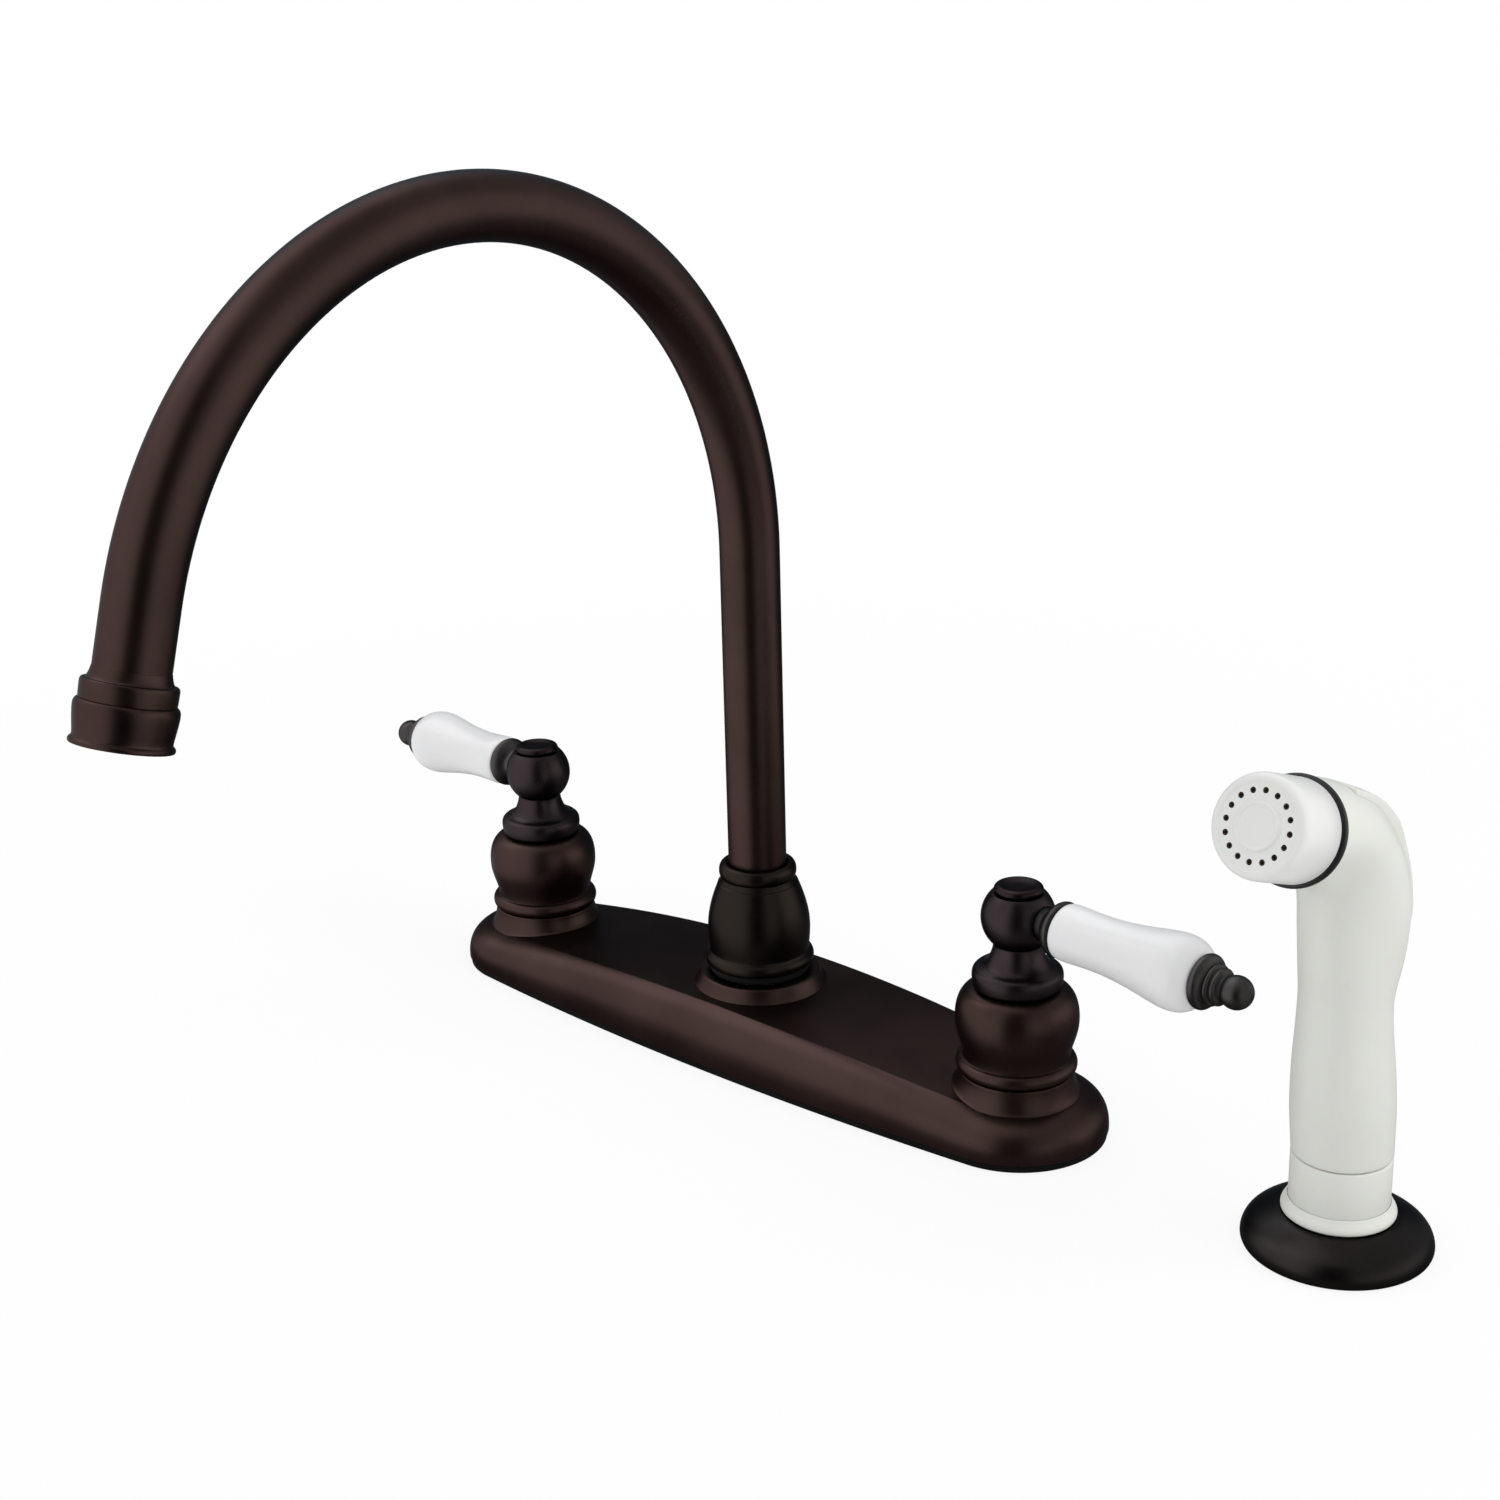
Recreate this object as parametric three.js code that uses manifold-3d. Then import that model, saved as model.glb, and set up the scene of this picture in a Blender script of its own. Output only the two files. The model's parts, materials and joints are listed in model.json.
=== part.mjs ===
// Two handle kitchen faucet with a high arc swivel spout and a side spray.
// Units are millimetres and +Z is up. The origin lies on the sink deck, on the
// axis of the spout. +X runs from the hot valve to the cold valve, and -Y is
// the side where the user stands.
import * as THREE from 'three';
import { mergeVertices } from 'three/addons/utils/BufferGeometryUtils.js';
import Module from 'manifold-3d';

const wasm = await Module();
wasm.setup();

// ---------------------------------------------------------------- sizes
const SEAT = 0.3; // gap between pieces that seat on each other
const SIDES = 16; // facets round a piece that shows
const INNER_SIDES = 12; // facets round a piece that doesn't
const LEVER_SIDES = 12;

// deck plate and gasket
const VALVE_SPREAD = 203.2; // hot to cold centres
const END_R = 27.5; // rounded ends of the plate
const MID_HALF_DEPTH = 32.3; // half the plate's depth at the spout
const GASKET_T = 2.0;
const GASKET_INSET = 0.5;
const PLATE_TOP_MID = 19.9; // crown of the top face at the spout
const PLATE_TOP_END = 13.5; // height of the top face at the valves
const PLATE_WALL = 2.2;
const CREASE_INSET_MID = 7.9; // edge of the top face, in from the foot
const CREASE_INSET_END = 9.5;

// valve bosses and spout boss, part of the plate
const VALVE_BOSS_TOP = 20.4;
const VALVE_BOSS_R = 16.9;
const VALVE_BOSS_FOOT_R = 18.8;
const VALVE_BOSS_BORE = 14.0;
const SPOUT_BOSS_TOP = 24.1;
const SPOUT_BOSS_R = 19.0;
const SPOUT_BOSS_FOOT_R = 21.3;
const SPOUT_BOSS_BORE = 15.0;
const SPOUT_REST_DEG = 2.9; // the spout stands this far off square

// cast waterway under the plate
const SHANK_R = 10.3;
const SHANK_END = -48;
const SHANK_BORE = 6.0;
const CASTING_R = 12.6;
const CASTING_TOP = 16.0;
const TOWER_R = 10.4;
const TOWER_TOP = 23.0;
const TOWER_BORE = 8.9;
const TOWER_FLOOR = 6.0;
const CROSSBAR_Z = 7.0;
const CROSSBAR_R = 4.6;
const CROSSBAR_BORE = 3.4;
const HUB_THREAD_R = 14.0;
const HUB_TOP = 33.0;
const HUB_BORE = 10.2;
const HUB_FLOOR = 13.5;
const DIVERTER_BORE = 6.2;
const DIVERTER_FLOOR = -2.0;
const PORT_R = 7.0;
const PORT_BORE = 3.6;
const PORT_END = -24;

// clamping under the sink deck
const DECK_GAP = 8.5; // thickness that the fixings close on
const WASHER_T = 1.5;
const WASHER_R = 20;
const NUT_T = 8.2;
const NUT_HUB_R = 14.5;
const NUT_WING_R = 21;

// quarter turn cartridge
const CARTRIDGE_R = 8.6;
const CARTRIDGE_FLANGE_R = 10.2;
const CARTRIDGE_FLANGE_T = 2.0;
const CARTRIDGE_NECK_R = 7.8;
const CARTRIDGE_NECK_Z = 38;
const CARTRIDGE_TOP = 48.5;
const CARTRIDGE_CUP_R = 7.7;
const CARTRIDGE_CUP_TOP = 16.4;
const SEAL_T = 2.0;
const DISC_R = 7.4;
const DISC_T = 2.0;
const STEM_R = 3.9;
const STEM_BORE = 4.35;
const STEM_FLANGE_T = 1.9;
const STEM_TOP = 60;
const SPLINE_ROOT_R = 3.4;
const SPLINE_TEETH = 12;
const SPLINE_Z = 49;
const LOCK_NUT_AF = 24;
const LOCK_NUT_T = 7.3;

// bell shaped bonnet
const BONNET_Z = 20.8;
const BONNET_TOP = 46.7;
const BONNET_R = 18.2;
const BONNET_BEAD_R = 17.8;
const BONNET_WAIST_R = 16.35;
const BONNET_BORE = 14.4;

// handle
const HUB_SKIRT_Z = 47.1;
const SKIRT_R = 13.3;
const NECK_R = 7.3;
const NECK_Z = 59.2;
const BALL_R = 10.9;
const BALL_Z = 68.5;
const CAP_Z = 76.0; // where the cap meets the ball
const CAP_R = 7.2;
const CAP_SEAT_R = 7.9;
const CAP_T = 2.1;
const CAP_PLUG_R = 5.4;
const SCREW_R = 1.7;
const SCREW_HEAD_R = 3.6;
const HOT_LEVER_DEG = 4.7; // turned back from the line of the valves
const COLD_LEVER_DEG = -4.5; // turned forward from it
const HOT_DROOP_DEG = 2.8;
const COLD_DROOP_DEG = 0.4;
const LEVER_Z = 69.0;
const COLLAR_R = 8.3;
const COLLAR_T = 1.6;
const COLLAR_NECK_R = 4.8;
const COLLAR_IN = 3.4; // depth of the collar in the ball
const GRIP_START = 17.0; // along the lever, from the valve axis
const GRIP_END = 64.5;
const GRIP_START_R = 8.0;
const GRIP_WAIST_R = 7.7;
const GRIP_BELLY_R = 10.4;
const GRIP_END_R = 7.4;
const GRIP_BORE = 3.4;
const ROD_R = 3.0;
const FINIAL_R = 7.9;
const FINIAL_TIP = 80.5;
const FINIAL_BALL_R = 4.75;
const ROD_IN = 5; // depth of the rod in the finial

// spout
const TUBE_R = 9.2;
const TUBE_WALL = 1.0;
const TUBE_SIDES = 12;
const ARC_STEPS = 18;
const RISER_TOP = 161.6;
const ARC_R = 112.1;
const ARC_DEG = 163;
const TAIL = 21.4; // straight end of the tube past the arc
const SHANK_FLANGE_R = 12.6;
const SHANK_FLANGE_T = 2.0;
const SPIGOT_R = 7.9;
const SPIGOT_TOP = 43;
const SWIVEL_R = 9.8;
const SWIVEL_BORE = 6.6;
const ORING_GROOVE_R = 7.9;
const ORING_T = 1.9;
const ORING_GROOVE_H = 2.3;
const ORING_LOW_Z = 18.2;
const ORING_PITCH = 5.2;
const FRICTION_RING_T = 1.4;
const NUT_FOOT_Z = 27.1;
const NUT_FOOT_R = 17.4;
const NUT_BULB_R = 16.4;
const NUT_TOP = 60.6;
const NUT_BEAD_R = 12.2;
const FOOT_WASHER_R = 16.0;

// outlet, measured along the tube's end from the end of the arc
const OUT_COLLAR_S = 18.4;
const OUT_COLLAR_R = 11.4;
const OUT_SHELL_S = 23.2;
const OUT_SHELL_R = 12.3;
const OUT_LIP_R = 12.3;
const OUT_END_S = 33.7;
const OUT_THREAD_R = 10.5;
const OUT_THREAD_END = 27.0;
const AERATOR_T = 3.8;
const AERATOR_WASHER_T = 0.9;

// side spray
const SPRAY_X = 205.5;
const SPRAY_Y = 3.4;
const SPRAY_HEADING_DEG = -2; // the head looks to the front
const FLANGE_R = 25.6;
const FLANGE_TOP = 9.7;
const FLANGE_BORE = 14.4;
const GUIDE_R = 14.0;
const GUIDE_BORE = 11.5;
const GUIDE_END = -28;
const GUIDE_RIM_R = 15.3;
const GUIDE_RIM_TOP = 13.2;
const GUIDE_NUT_R = 19;
const GUIDE_NUT_T = 6.5;
const COUPLING_R = 13.45;
const COUPLING_TOP = 27.3;
const COUPLING_TAIL_R = 11.1;
const COUPLING_TAIL_END = -6;
const BODY_SPIGOT_R = 7.0;
const HEAD_TILT_DEG = 19.7; // the face looks up by this much
const HEAD_REACH = 32.9; // black ring's centre, forward of the handle
const HEAD_Z = 127.9;
const HEAD_R = 13.8;
const RING_R = 14.4;
const RING_T = 1.7;
const NOZZLE_R = 13.2;
const NOZZLE_FACE_R = 12.1;
const NOZZLE_L = 16.9;
const NOZZLE_HOLES = 16;
const NOZZLE_PCR = 9.0;
const NOZZLE_HOLE_R = 0.75;
const NOZZLE_DISC_R = 6.0;
const TRIGGER_W = 15;
const TRIGGER_T = 2.2;
const TRIGGER_GAP = 4.2; // travel left under the trigger
const PLUNGER_R = 2.0;
const PLUNGER_Z = 99;
const PIN_R = 1.0;
const PIN_HALF = 9.2;
const LUG_R = 2.4;
const WATER_R = 3.2; // way through the handle and the head

// ---------------------------------------------------------------- helpers
const rad = THREE.MathUtils.degToRad;
const HALF_SPREAD = VALVE_SPREAD / 2;

// Weld a geometry to shared vertices, drop flat triangles, face it outward.
function weld(geometry) {
  const g = geometry.clone();
  g.deleteAttribute('normal');
  g.deleteAttribute('uv');
  const m = mergeVertices(g, 1e-4);
  const src = m.index.array;
  const p = m.attributes.position;
  const keep = [];
  let volume = 0;
  const a = new THREE.Vector3();
  const b = new THREE.Vector3();
  const c = new THREE.Vector3();
  for (let i = 0; i < src.length; i += 3) {
    const [u, v, w] = [src[i], src[i + 1], src[i + 2]];
    if (u === v || v === w || w === u) continue;
    keep.push(u, v, w);
    a.fromBufferAttribute(p, u);
    b.fromBufferAttribute(p, v);
    c.fromBufferAttribute(p, w);
    volume += a.dot(b.cross(c));
  }
  if (volume < 0) {
    for (let i = 0; i < keep.length; i += 3) {
      [keep[i], keep[i + 1]] = [keep[i + 1], keep[i]];
    }
  }
  m.setIndex(keep);
  return m;
}

function toManifold(geometry) {
  const g = weld(geometry);
  return new wasm.Manifold(new wasm.Mesh({
    numProp: 3,
    vertProperties: new Float32Array(g.attributes.position.array),
    triVerts: new Uint32Array(g.index.array),
  }));
}

function fromManifold(solid) {
  const mesh = solid.getMesh();
  const g = new THREE.BufferGeometry();
  g.setAttribute('position', new THREE.BufferAttribute(new Float32Array(mesh.vertProperties), 3));
  g.setIndex(new THREE.BufferAttribute(new Uint32Array(mesh.triVerts), 1));
  return g;
}

function join(...parts) {
  return fromManifold(parts.map(toManifold).reduce((s, t) => s.add(t)));
}

function cut(base, ...tools) {
  return fromManifold(tools.map(toManifold).reduce((s, t) => s.subtract(t), toManifold(base)));
}

// Turned piece about +Z from [z, r] points. A hollow profile closes on itself.
function turn(profile, sides = SIDES, hollow = false) {
  const pts = profile.map(([z, r]) => new THREE.Vector2(r, z));
  if (hollow) pts.push(pts[0].clone());
  return new THREE.LatheGeometry(pts, sides).rotateX(Math.PI / 2);
}

function rod(z0, z1, r, sides = INNER_SIDES) {
  return turn([[z0, 0], [z0, r], [z1, r], [z1, 0]], sides);
}

function ring(z0, z1, inner, outer, sides = INNER_SIDES) {
  return turn([[z0, inner], [z0, outer], [z1, outer], [z1, inner]], sides, true);
}

function circlePoints(r, n, phase = 0) {
  return Array.from({ length: n }, (_, i) => {
    const a = phase + (2 * Math.PI * i) / n;
    return new THREE.Vector2(r * Math.cos(a), r * Math.sin(a));
  });
}

function slab(points, z0, z1, holes = []) {
  const shape = new THREE.Shape(points);
  shape.holes = holes.map((h) => new THREE.Path(h));
  const g = new THREE.ExtrudeGeometry(shape, { depth: z1 - z0, bevelEnabled: false });
  return g.translate(0, 0, z0);
}

// Skin over rings of points with equal counts; both ends are closed flat.
function loft(rings, closeEnds = true) {
  const n = rings[0].length;
  const position = [];
  const index = [];
  rings.forEach((r) => r.forEach((p) => position.push(p.x, p.y, p.z)));
  for (let j = 0; j + 1 < rings.length; j += 1) {
    for (let i = 0; i < n; i += 1) {
      const a = j * n + i;
      const b = j * n + ((i + 1) % n);
      index.push(a, b, a + n, b, b + n, a + n);
    }
  }
  if (closeEnds) {
    const last = (rings.length - 1) * n;
    for (let i = 0; i < n / 2; i += 1) {
      const k = n - 1 - i;
      const low = (n - i) % n;
      index.push(low, k, i, i, k, i + 1);
      index.push(last + low, last + i, last + k, last + i, last + i + 1, last + k);
    }
  }
  const g = new THREE.BufferGeometry();
  g.setAttribute('position', new THREE.BufferAttribute(new Float32Array(position), 3));
  g.setIndex(index);
  return g;
}

const root = new THREE.Group();
const material = {
  bronze: new THREE.MeshStandardMaterial({ color: 0x35261f, roughness: 0.38, metalness: 0.85 }),
  darkBronze: new THREE.MeshStandardMaterial({ color: 0x2e2c2b, roughness: 0.42, metalness: 0.8 }),
  porcelain: new THREE.MeshStandardMaterial({ color: 0xe6e6e8, roughness: 0.18, metalness: 0 }),
  whitePlastic: new THREE.MeshStandardMaterial({ color: 0xe6e9e2, roughness: 0.4, metalness: 0 }),
  blackPlastic: new THREE.MeshStandardMaterial({ color: 0x2a2c30, roughness: 0.5, metalness: 0 }),
  rubber: new THREE.MeshStandardMaterial({ color: 0x151515, roughness: 0.8, metalness: 0 }),
  brass: new THREE.MeshStandardMaterial({ color: 0xb08d4a, roughness: 0.35, metalness: 0.9 }),
  steel: new THREE.MeshStandardMaterial({ color: 0x9a9c9e, roughness: 0.35, metalness: 0.9 }),
  ceramic: new THREE.MeshStandardMaterial({ color: 0xd9d4c8, roughness: 0.25, metalness: 0 }),
  nylon: new THREE.MeshStandardMaterial({ color: 0xcfcabb, roughness: 0.55, metalness: 0 }),
};

function add(parent, name, geometry, look) {
  const mesh = new THREE.Mesh(weld(geometry), look);
  mesh.name = name;
  parent.add(mesh);
  return mesh;
}

// ---------------------------------------------------------------- deck plate
// Half outline from the cold end to the hot end, then back along the front.
// Long bowed sides run tangent into the round ends.
function plateOutline(inset, endSteps = 4, sideSteps = 8) {
  const re = END_R - inset;
  const bow = MID_HALF_DEPTH - END_R;
  const k = (HALF_SPREAD ** 2 - bow ** 2) / (2 * bow);
  const big = MID_HALF_DEPTH + k - inset;
  const tangent = Math.atan2(HALF_SPREAD, k);
  const half = [];
  for (let i = 0; i <= endSteps; i += 1) {
    const a = ((Math.PI / 2 - tangent) * i) / endSteps;
    half.push([HALF_SPREAD + re * Math.cos(a), re * Math.sin(a)]);
  }
  for (let i = 1; i < sideSteps; i += 1) {
    const a = tangent - (2 * tangent * i) / sideSteps;
    half.push([big * Math.sin(a), big * Math.cos(a) - k]);
  }
  for (let i = endSteps; i >= 0; i -= 1) {
    const a = ((Math.PI / 2 - tangent) * i) / endSteps;
    half.push([-HALF_SPREAD - re * Math.cos(a), re * Math.sin(a)]);
  }
  const front = half.slice(1, -1).reverse().map(([x, y]) => [x, -y]);
  return half.concat(front).map(([x, y]) => new THREE.Vector2(x, y));
}

function crown(x) {
  const fall = PLATE_TOP_MID - PLATE_TOP_END;
  return PLATE_TOP_MID - fall * Math.min(1, Math.abs(x) / HALF_SPREAD) ** 2;
}

function creaseInset(x) {
  const t = Math.min(1, Math.abs(x) / HALF_SPREAD);
  return CREASE_INSET_MID + (CREASE_INSET_END - CREASE_INSET_MID) * t ** 4;
}

// A ring of the plate: share of the side inset, share of the side's height.
function plateRing(insetShare, heightShare, base, drop = 0, wall = 0) {
  const foot = plateOutline(wall);
  return foot.map((p, i) => {
    const inset = creaseInset(p.x) * insetShare;
    const q = plateOutline(wall + inset)[i];
    const top = crown(q.x) - drop;
    return new THREE.Vector3(q.x, q.y, base + (top - base) * heightShare);
  });
}

const PLATE_FOOT = GASKET_T + SEAT;

const plateSkin = loft([
  plateRing(0, 0, PLATE_FOOT),
  plateRing(0.07, 0.32, PLATE_FOOT),
  plateRing(0.38, 0.76, PLATE_FOOT),
  plateRing(1, 1, PLATE_FOOT),
]);
const plateHollow = loft([
  plateRing(0, 0, PLATE_FOOT - 1, 0, PLATE_WALL),
  plateRing(0.2, 0.55, PLATE_FOOT, PLATE_WALL, PLATE_WALL),
  plateRing(1, 1, PLATE_FOOT, PLATE_WALL, PLATE_WALL),
]);

function valveBoss() {
  const foot = crown(HALF_SPREAD);
  return turn([
    [foot - 1.6, 0],
    [foot - 1.6, VALVE_BOSS_FOOT_R],
    [foot, VALVE_BOSS_FOOT_R],
    [foot + 3.0, VALVE_BOSS_R + 0.9],
    [VALVE_BOSS_TOP, VALVE_BOSS_R],
    [VALVE_BOSS_TOP, 0],
  ]);
}

function spoutBoss() {
  return turn([
    [PLATE_TOP_MID - PLATE_WALL - 0.2, 0],
    [PLATE_TOP_MID - PLATE_WALL - 0.2, SPOUT_BOSS_FOOT_R],
    [PLATE_TOP_MID + 0.1, SPOUT_BOSS_FOOT_R],
    [PLATE_TOP_MID + 1.6, SPOUT_BOSS_FOOT_R - 1.0],
    [SPOUT_BOSS_TOP - 0.8, SPOUT_BOSS_R + 0.2],
    [SPOUT_BOSS_TOP, SPOUT_BOSS_R - 0.8],
    [SPOUT_BOSS_TOP, 0],
  ]);
}

const VALVE_SIDES = [['hot', -1], ['cold', 1]];
const bosses = VALVE_SIDES.map(([, s]) => valveBoss().translate(s * HALF_SPREAD, 0, 0));
const valveHoles = VALVE_SIDES.map(([, s]) => rod(0, VALVE_BOSS_TOP + 1, VALVE_BOSS_BORE, SIDES)
  .translate(s * HALF_SPREAD, 0, 0));
const spoutHole = rod(0, SPOUT_BOSS_TOP + 1, SPOUT_BOSS_BORE, SIDES);
add(
  root,
  'deck_plate',
  cut(join(cut(plateSkin, plateHollow), spoutBoss(), ...bosses), spoutHole, ...valveHoles),
  material.bronze,
);

const gasketHole = (x, r) => circlePoints(r, INNER_SIDES).map((p) => p.add(new THREE.Vector2(x, 0)));
add(root, 'deck_gasket', slab(plateOutline(GASKET_INSET), 0, GASKET_T, [
  gasketHole(-HALF_SPREAD, SHANK_R + 0.8),
  gasketHole(0, PORT_R + 0.8),
  gasketHole(HALF_SPREAD, SHANK_R + 0.8),
]), material.rubber);

// ---------------------------------------------------------------- waterway
const CASTING_FOOT = GASKET_T + SEAT;

function valveTower(x) {
  return turn([
    [SHANK_END, 0],
    [SHANK_END, SHANK_R],
    [CASTING_FOOT, SHANK_R],
    [CASTING_FOOT, CASTING_R],
    [CASTING_TOP, CASTING_R],
    [CASTING_TOP + 1.2, TOWER_R],
    [TOWER_TOP, TOWER_R],
    [TOWER_TOP, 0],
  ], INNER_SIDES).translate(x, 0, 0);
}

function valveBore(x) {
  return turn([
    [SHANK_END - 1, 0],
    [SHANK_END - 1, SHANK_BORE],
    [TOWER_FLOOR, SHANK_BORE],
    [TOWER_FLOOR, TOWER_BORE],
    [TOWER_TOP + 1, TOWER_BORE],
    [TOWER_TOP + 1, 0],
  ], INNER_SIDES).translate(x, 0, 0);
}

const spoutHub = turn([
  [PORT_END, 0],
  [PORT_END, PORT_R],
  [CASTING_FOOT, PORT_R],
  [CASTING_FOOT, CASTING_R],
  [CASTING_TOP, CASTING_R],
  [CASTING_TOP + 1.2, HUB_THREAD_R],
  [HUB_TOP, HUB_THREAD_R],
  [HUB_TOP, 0],
], INNER_SIDES);
const hubBore = turn([
  [PORT_END - 1, 0],
  [PORT_END - 1, PORT_BORE],
  [DIVERTER_FLOOR, PORT_BORE],
  [DIVERTER_FLOOR, DIVERTER_BORE],
  [HUB_FLOOR, DIVERTER_BORE],
  [HUB_FLOOR, HUB_BORE],
  [HUB_TOP + 1, HUB_BORE],
  [HUB_TOP + 1, 0],
], INNER_SIDES);
const crossbar = (r) => rod(-HALF_SPREAD, HALF_SPREAD, r, 8).rotateY(Math.PI / 2)
  .translate(0, 0, CROSSBAR_Z);
add(root, 'waterway_body', cut(
  join(spoutHub, crossbar(CROSSBAR_R), ...VALVE_SIDES.map(([, s]) => valveTower(s * HALF_SPREAD))),
  hubBore,
  crossbar(CROSSBAR_BORE),
  ...VALVE_SIDES.map(([, s]) => valveBore(s * HALF_SPREAD)),
), material.brass);

// ---------------------------------------------------------------- diverter
const diverterSleeve = turn([
  [DIVERTER_FLOOR + SEAT, 2.6],
  [DIVERTER_FLOOR + SEAT, DIVERTER_BORE - SEAT],
  [HUB_FLOOR - 1.2, DIVERTER_BORE - SEAT],
  [HUB_FLOOR - 1.2, 4.1],
  [4.2, 4.1],
  [3.4, 2.6],
], INNER_SIDES, true);
const diverterWindow = new THREE.BoxGeometry(2 * DIVERTER_BORE + 2, 4, 4.4).translate(0, 0, CROSSBAR_Z);
add(root, 'diverter_sleeve', cut(diverterSleeve, diverterWindow), material.nylon);
add(root, 'diverter_poppet', turn([
  [DIVERTER_FLOOR + 1, 0],
  [DIVERTER_FLOOR + 1, 1.9],
  [3.9, 1.9],
  [4.6, 3.5],
  [6.2, 3.5],
  [6.6, 1.6],
  [HUB_FLOOR - 2, 1.6],
  [HUB_FLOOR - 2, 0],
], 12), material.nylon);
const nippleHex = slab(circlePoints(7.6, 6), PORT_END - 7.3, PORT_END - SEAT, [circlePoints(2.6, 10)]);
add(root, 'spray_outlet_nipple', join(nippleHex, turn([
  [PORT_END - 19, 2.6],
  [PORT_END - 19, 4.4],
  [PORT_END - 13, 5.2],
  [PORT_END - 13, 4.4],
  [PORT_END - 7, 4.4],
  [PORT_END - 7, 2.6],
], 10, true)), material.brass);

// ---------------------------------------------------------------- fixings
function wingNut(x, z1) {
  const outline = [];
  for (let i = 0; i < 4; i += 1) {
    const a = (Math.PI / 2) * i + Math.PI / 4;
    const wing = 0.2;
    [[NUT_HUB_R, -0.52], [NUT_WING_R, -wing], [NUT_WING_R, wing], [NUT_HUB_R, 0.52]]
      .forEach(([r, d]) => outline.push(new THREE.Vector2(r * Math.cos(a + d), r * Math.sin(a + d))));
  }
  return slab(outline, z1 - NUT_T, z1, [circlePoints(SHANK_R + 0.45, INNER_SIDES)]).translate(x, 0, 0);
}

VALVE_SIDES.forEach(([side, s]) => {
  const x = s * HALF_SPREAD;
  add(root, `${side}_mounting_washer`, ring(-DECK_GAP - WASHER_T, -DECK_GAP, SHANK_R + 0.45, WASHER_R)
    .translate(x, 0, 0), material.steel);
  add(root, `${side}_mounting_nut`, wingNut(x, -DECK_GAP - WASHER_T - SEAT), material.brass);
});

// ---------------------------------------------------------------- valves
const FLANGE_Z = TOWER_TOP + SEAT;
const SEAL_Z = TOWER_FLOOR + SEAT;
const FIXED_Z = SEAL_Z + SEAL_T + SEAT;
const MOVING_Z = FIXED_Z + DISC_T + SEAT;
const STEM_Z = MOVING_Z + DISC_T + SEAT;

function cartridge() {
  const body = turn([
    [FIXED_Z - SEAT, CARTRIDGE_CUP_R],
    [FIXED_Z - SEAT, CARTRIDGE_R],
    [FLANGE_Z, CARTRIDGE_R],
    [FLANGE_Z, CARTRIDGE_FLANGE_R],
    [FLANGE_Z + CARTRIDGE_FLANGE_T, CARTRIDGE_FLANGE_R],
    [FLANGE_Z + CARTRIDGE_FLANGE_T, CARTRIDGE_R],
    [CARTRIDGE_NECK_Z, CARTRIDGE_R],
    [CARTRIDGE_NECK_Z, CARTRIDGE_NECK_R],
    [CARTRIDGE_TOP, CARTRIDGE_NECK_R],
    [CARTRIDGE_TOP, STEM_BORE],
    [CARTRIDGE_CUP_TOP, STEM_BORE],
    [CARTRIDGE_CUP_TOP, CARTRIDGE_CUP_R],
  ], INNER_SIDES, true);
  const window = new THREE.BoxGeometry(2 * CARTRIDGE_R + 2, 5, 2.6)
    .translate(0, 0, CARTRIDGE_CUP_TOP - 2.2);
  return cut(body, window);
}

// Butterfly disc: two opposite ports, each a sector of a ring.
function valveDisc(z, turned) {
  const port = (start) => {
    const pts = [];
    for (let i = 0; i <= 4; i += 1) {
      const a = start + (rad(80) * i) / 4;
      pts.push(new THREE.Vector2(5.9 * Math.cos(a), 5.9 * Math.sin(a)));
    }
    for (let i = 4; i >= 0; i -= 2) {
      const a = start + (rad(80) * i) / 4;
      pts.push(new THREE.Vector2(2.2 * Math.cos(a), 2.2 * Math.sin(a)));
    }
    return pts;
  };
  return slab(circlePoints(DISC_R, INNER_SIDES), z, z + DISC_T, [port(turned), port(turned + Math.PI)]);
}

function stem() {
  const spline = Array.from({ length: 2 * SPLINE_TEETH }, (_, i) => {
    const a = (Math.PI * i) / SPLINE_TEETH;
    const r = i % 2 ? SPLINE_ROOT_R : STEM_R;
    return new THREE.Vector2(r * Math.cos(a), r * Math.sin(a));
  });
  const shaft = turn([
    [STEM_Z, 0],
    [STEM_Z, DISC_R - 0.2],
    [STEM_Z + STEM_FLANGE_T, DISC_R - 0.2],
    [STEM_Z + STEM_FLANGE_T, STEM_R],
    [SPLINE_Z, STEM_R],
    [SPLINE_Z, 0],
  ], INNER_SIDES);
  return cut(join(shaft, slab(spline, SPLINE_Z - 0.5, STEM_TOP)), rod(STEM_TOP - 9, STEM_TOP + 1, SCREW_R + 0.35, 8));
}

function lockNut() {
  const z0 = FLANGE_Z - 2.5;
  const hex = slab(circlePoints(LOCK_NUT_AF / Math.sqrt(3), 6), z0, z0 + LOCK_NUT_T);
  return cut(hex, turn([
    [z0 - 1, 0],
    [z0 - 1, TOWER_R + SEAT],
    [FLANGE_Z + CARTRIDGE_FLANGE_T + SEAT, TOWER_R + SEAT],
    [FLANGE_Z + CARTRIDGE_FLANGE_T + SEAT, CARTRIDGE_R + SEAT],
    [z0 + LOCK_NUT_T + 1, CARTRIDGE_R + SEAT],
    [z0 + LOCK_NUT_T + 1, 0],
  ], INNER_SIDES));
}

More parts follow.
